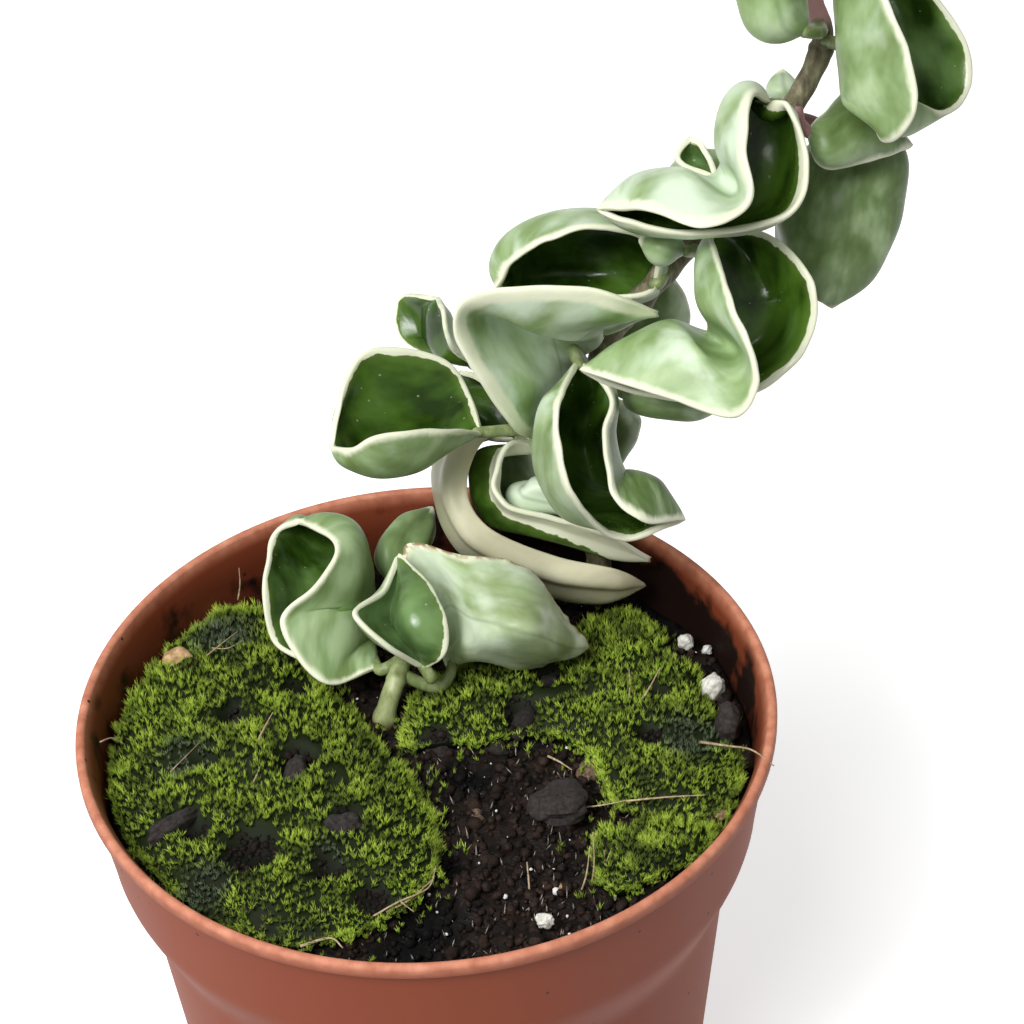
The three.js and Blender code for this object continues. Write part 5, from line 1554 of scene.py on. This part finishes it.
def make_blade(name, leaf, looks, seed, settings, skins, ragged):
    """A blade: a grid bent to the leaf's form, thickened, with a rounded margin."""
    milk, width, shade, age, painted_sheen, half_shade = looks
    small = np.linalg.norm(leaf["tip"] - leaf["base"]) < SMALL_LEAF_LENGTH
    rows, columns = fine((SMALL_LEAF_GRID if small else LEAF_GRID, QUICK_LEAF_GRID))
    places = blade_places(leaf, rows, columns)
    middle = places[:, columns // 2]

    # How far each place is from the margins and from the leaf's ends
    steps = np.linalg.norm(np.diff(places, axis=1), axis=2)
    from_left = np.concatenate([np.zeros((rows + 1, 1)), np.cumsum(steps, axis=1)], axis=1)
    margin = np.minimum(from_left, from_left[:, -1:] - from_left)
    along = np.concatenate([[0], np.cumsum(np.linalg.norm(np.diff(middle, axis=0), axis=1))])
    ends = np.minimum(along, along[-1] - along)

    # Soft waves in the blade, and finer ones along its margin
    near_edge = np.exp(-margin / 1.2) * smooth(ends / 3)[:, None]
    ripples = [(0.16, 7, smooth(ends / 4)[:, None] * smooth(margin / 1.5)), (0.22, 4.5, near_edge)]
    if ragged:
        ripples.append((0.4, 1.6, near_edge))
    normals = grid_normals(places)
    for k, (depth, size, share) in enumerate(ripples):
        places = places + normals * (depth * waves(places, size, seed + k) * share)[..., None]

    piece = primitive("grid", name, x_subdivisions=rows, y_subdivisions=columns, size=2 * MM)
    start = corners_of(piece)
    i = np.rint((start[:, 0] + 1) / 2 * rows).astype(int)
    j = np.rint((start[:, 1] + 1) / 2 * columns).astype(int)
    set_corners(piece, places[i, j])
    put(piece, "margin_mm", margin[i, j])
    put(piece, "age", age)
    put(piece, "crust", 1.0 if ragged else 0.0)
    put(piece, "painted_sheen", painted_sheen)
    sided = (from_left - from_left[:, -1:] / 2)[i, j]
    # Painted shade: one half of the blade is darker and less milky
    darker = half_shade * smooth(-sided / 3)
    whole = np.ones(len(start))
    put(piece, "tone", np.column_stack([milk + darker, width * whole, shade + darker]), "vector")
    put(piece, "leaf_mm", np.column_stack([along[i], sided, seed * 7.3 * whole]), "vector")
    swell = piece.vertex_groups.new(name="swell")
    full = smooth(margin / 3.5) * smooth(ends / 3)[:, None]
    for index, weight in enumerate(full[i, j]):
        swell.add([index], float(weight), "REPLACE")
    edit_all(piece, merge(0.01 * MM))
    for skin in skins:
        piece.data.materials.append(skin)
    apply_modifier(piece, "SOLIDIFY", thickness=settings.thickness, offset=0.0,
                   vertex_group="swell", thickness_vertex_group=settings.edge_share,
                   material_offset=1, material_offset_rim=0)
    apply_modifier(piece, "SUBSURF", levels=1, render_levels=1)
    piece.vertex_groups.clear()
    shade_smooth(piece)
    return piece, middle


def make_petiole(name, leaf, middle, pink, skin):
    """The short stalk from the stem to the blade, widening into its rib."""
    foot, base = leaf["foot"], leaf["base"]
    bend = base + unit(base - middle[2]) * np.linalg.norm(foot - base) * 0.35
    bend = bend + (foot - bend) * 0.25
    shares = np.linspace(0, 1, STALK_STEPS)
    path = through([foot, bend, base, middle[max(1, len(middle) // 10)]], shares)
    radii = np.interp(shares, [0, 0.12, 0.5, 0.75, 1], [1.25, 1.05, 1.0, 0.9, 0.45])
    stalk = tube(name, path, radii, 3, skin)
    put(stalk, "blush", 0.8 if pink else 0.0)
    return stalk


PINK_PETIOLES = ("leaf_bract", "leaf_drape", "leaf_peek_stem")
RAGGED_LEAVES = ("leaf_pot_shell",)


def make_leaves(settings):
    """Every leaf of the vine and of the side shoot, each a blade on its stalk."""
    skins = (leaf_skin("Waxy_leaf_underside", settings, False),
             leaf_skin("Waxy_leaf_upper_side", settings, True))
    stalk_skin = stem_skin("Petiole_skin", ("#5f6d40", "#7f8e5a", "#a8b484", "#a8707c"), 1.6, 0.45)
    leaves = {name: (leaf["looks"], leaf_from_view(leaf)) for name, leaf in FRONT_LEAVES.items()}
    for k, row in enumerate(BACK_LEAVES):
        leaves[f"leaf_back_{k + 1}"] = (*row[7:], 0, 0, 0), leaf_behind(*row[:7])
    for k, (name, (looks, leaf)) in enumerate(leaves.items()):
        blade, middle = make_blade(name + "_blade", leaf, looks, k + 3, settings, skins,
                                   name in RAGGED_LEAVES)
        stalk = make_petiole(name + "_stalk", leaf, middle, name in PINK_PETIOLES, stalk_skin)
        finish(join([blade, stalk], name + "_waxy"), "waxy_leaf", name)


# The stage
def add_lamp(name, place, width, height, power):
    """A soft lamp that faces the pot's middle."""
    bpy.ops.object.light_add(type="AREA", location=place)
    lamp = bpy.context.active_object
    lamp.name = name
    lamp.data.shape = "ELLIPSE" if width == height else "RECTANGLE"
    lamp.data.size = width
    lamp.data.size_y = height
    lamp.data.energy = power
    lamp.rotation_euler = (Vector((0, 0, 0.1)) - lamp.location).to_track_quat("-Z", "Y").to_euler()


def make_stage(settings):
    """The floor, the even sky, a large soft lamp and the camera."""
    floor = primitive("plane", "floor", size=12, location=(0, 0, 0))
    floor.data.materials.append(pale_board(settings))
    floor.visible_diffuse = False

    world = bpy.data.worlds.new("Pale_sky")
    bpy.context.scene.world = world
    world.use_nodes = True
    sky = world.node_tree.nodes["Background"]
    sky.inputs["Color"].default_value = (1, 1, 1, 1)
    sky.inputs["Strength"].default_value = settings.sky_strength

    add_lamp("window", (-0.4, -0.45, 0.95), 0.7, 0.7, settings.window_power)
    for k, name in enumerate(("window_pane_left", "window_pane_right")):
        add_lamp(name, (-0.47 + 0.1 * k, -0.44 - 0.09 * k, 0.84), 0.09, 0.26, settings.pane_power)

    camera = bpy.data.cameras.new("photo_view")
    holder = bpy.data.objects.new("photo_view", camera)
    bpy.context.scene.collection.objects.link(holder)
    camera.sensor_width = SENSOR_WIDTH
    camera.lens = VIEW_FOCAL_PX / VIEW_WIDTH_PX * SENSOR_WIDTH
    camera.clip_start = 0.02
    axes = Matrix((VIEW_ACROSS, VIEW_UP, -VIEW_AHEAD)).transposed().to_4x4()
    holder.matrix_world = Matrix.Translation(EYE * MM) @ axes
    bpy.context.scene.camera = holder
    bpy.context.scene.view_settings.view_transform = "Standard"


# Operators, one for each piece or group of like pieces
class RopePlantAddPot(bpy.types.Operator):
    """Builds the nursery pot"""

    bl_idname = "rope_plant.add_pot"
    bl_label = "Pot"

    def execute(self, context):
        make_pot(context.scene.rope_plant_pot)
        return {"FINISHED"}


class RopePlantAddSoil(bpy.types.Operator):
    """Builds the soil with its crumbs and flecks"""

    bl_idname = "rope_plant.add_soil"
    bl_label = "Soil"

    def execute(self, context):
        make_soil(context.scene.rope_plant_soil)
        return {"FINISHED"}


class RopePlantAddMoss(bpy.types.Operator):
    """Builds the moss cushions"""

    bl_idname = "rope_plant.add_moss"
    bl_label = "Moss"

    def execute(self, context):
        make_moss(context.scene.rope_plant_moss)
        return {"FINISHED"}


class RopePlantAddBits(bpy.types.Operator):
    """Builds the loose stones, perlite, bark chips and dry strands"""

    bl_idname = "rope_plant.add_bits"
    bl_label = "Loose bits"

    def execute(self, context):
        make_bits()
        make_clods()
        make_strands()
        return {"FINISHED"}


class RopePlantAddStems(bpy.types.Operator):
    """Builds the vine and the side shoot"""

    bl_idname = "rope_plant.add_stems"
    bl_label = "Stems"

    def execute(self, context):
        make_stems()
        return {"FINISHED"}


class RopePlantAddLeaves(bpy.types.Operator):
    """Builds all the leaves"""

    bl_idname = "rope_plant.add_leaves"
    bl_label = "Leaves"

    def execute(self, context):
        make_leaves(context.scene.rope_plant_leaves)
        return {"FINISHED"}


class RopePlantAddStage(bpy.types.Operator):
    """Builds the floor, the light and the camera"""

    bl_idname = "rope_plant.add_stage"
    bl_label = "Stage"

    def execute(self, context):
        make_stage(context.scene.rope_plant_stage)
        return {"FINISHED"}


class RopePlantPanel(bpy.types.Panel):
    """Lists the operators and the settings"""

    bl_idname = "VIEW3D_PT_rope_plant"
    bl_label = "Hindu rope plant"
    bl_space_type = "VIEW_3D"
    bl_region_type = "UI"
    bl_category = "Rope plant"

    def draw(self, context):
        for operator in OPERATORS:
            self.layout.operator(operator.bl_idname)
        for key, group in SETTINGS.items():
            box = self.layout.box()
            for name in group.__annotations__:
                box.prop(getattr(context.scene, key), name)


SETTINGS = {
    "rope_plant_pot": RopePlantPotSettings,
    "rope_plant_soil": RopePlantSoilSettings,
    "rope_plant_moss": RopePlantMossSettings,
    "rope_plant_leaves": RopePlantLeafSettings,
    "rope_plant_stage": RopePlantStageSettings,
}
OPERATORS = (RopePlantAddPot, RopePlantAddSoil, RopePlantAddMoss, RopePlantAddBits,
             RopePlantAddStems, RopePlantAddLeaves, RopePlantAddStage)
CLASSES = (*SETTINGS.values(), *OPERATORS, RopePlantPanel)


def register():
    """Registers the classes and gives the scene its settings."""
    for item in CLASSES:
        bpy.utils.register_class(item)
    for key, group in SETTINGS.items():
        setattr(bpy.types.Scene, key, PointerProperty(type=group))


def unregister():
    """Takes the settings and the classes away again."""
    for key in SETTINGS:
        delattr(bpy.types.Scene, key)
    for item in reversed(CLASSES):
        bpy.utils.unregister_class(item)


def main():
    """Builds everything in order."""
    register()
    bpy.ops.object.select_all(action="DESELECT")
    bpy.ops.rope_plant.add_pot()
    bpy.ops.rope_plant.add_soil()
    bpy.ops.rope_plant.add_moss()
    bpy.ops.rope_plant.add_bits()
    bpy.ops.rope_plant.add_stems()
    bpy.ops.rope_plant.add_leaves()
    bpy.ops.rope_plant.add_stage()


if __name__ == "__main__":
    main()
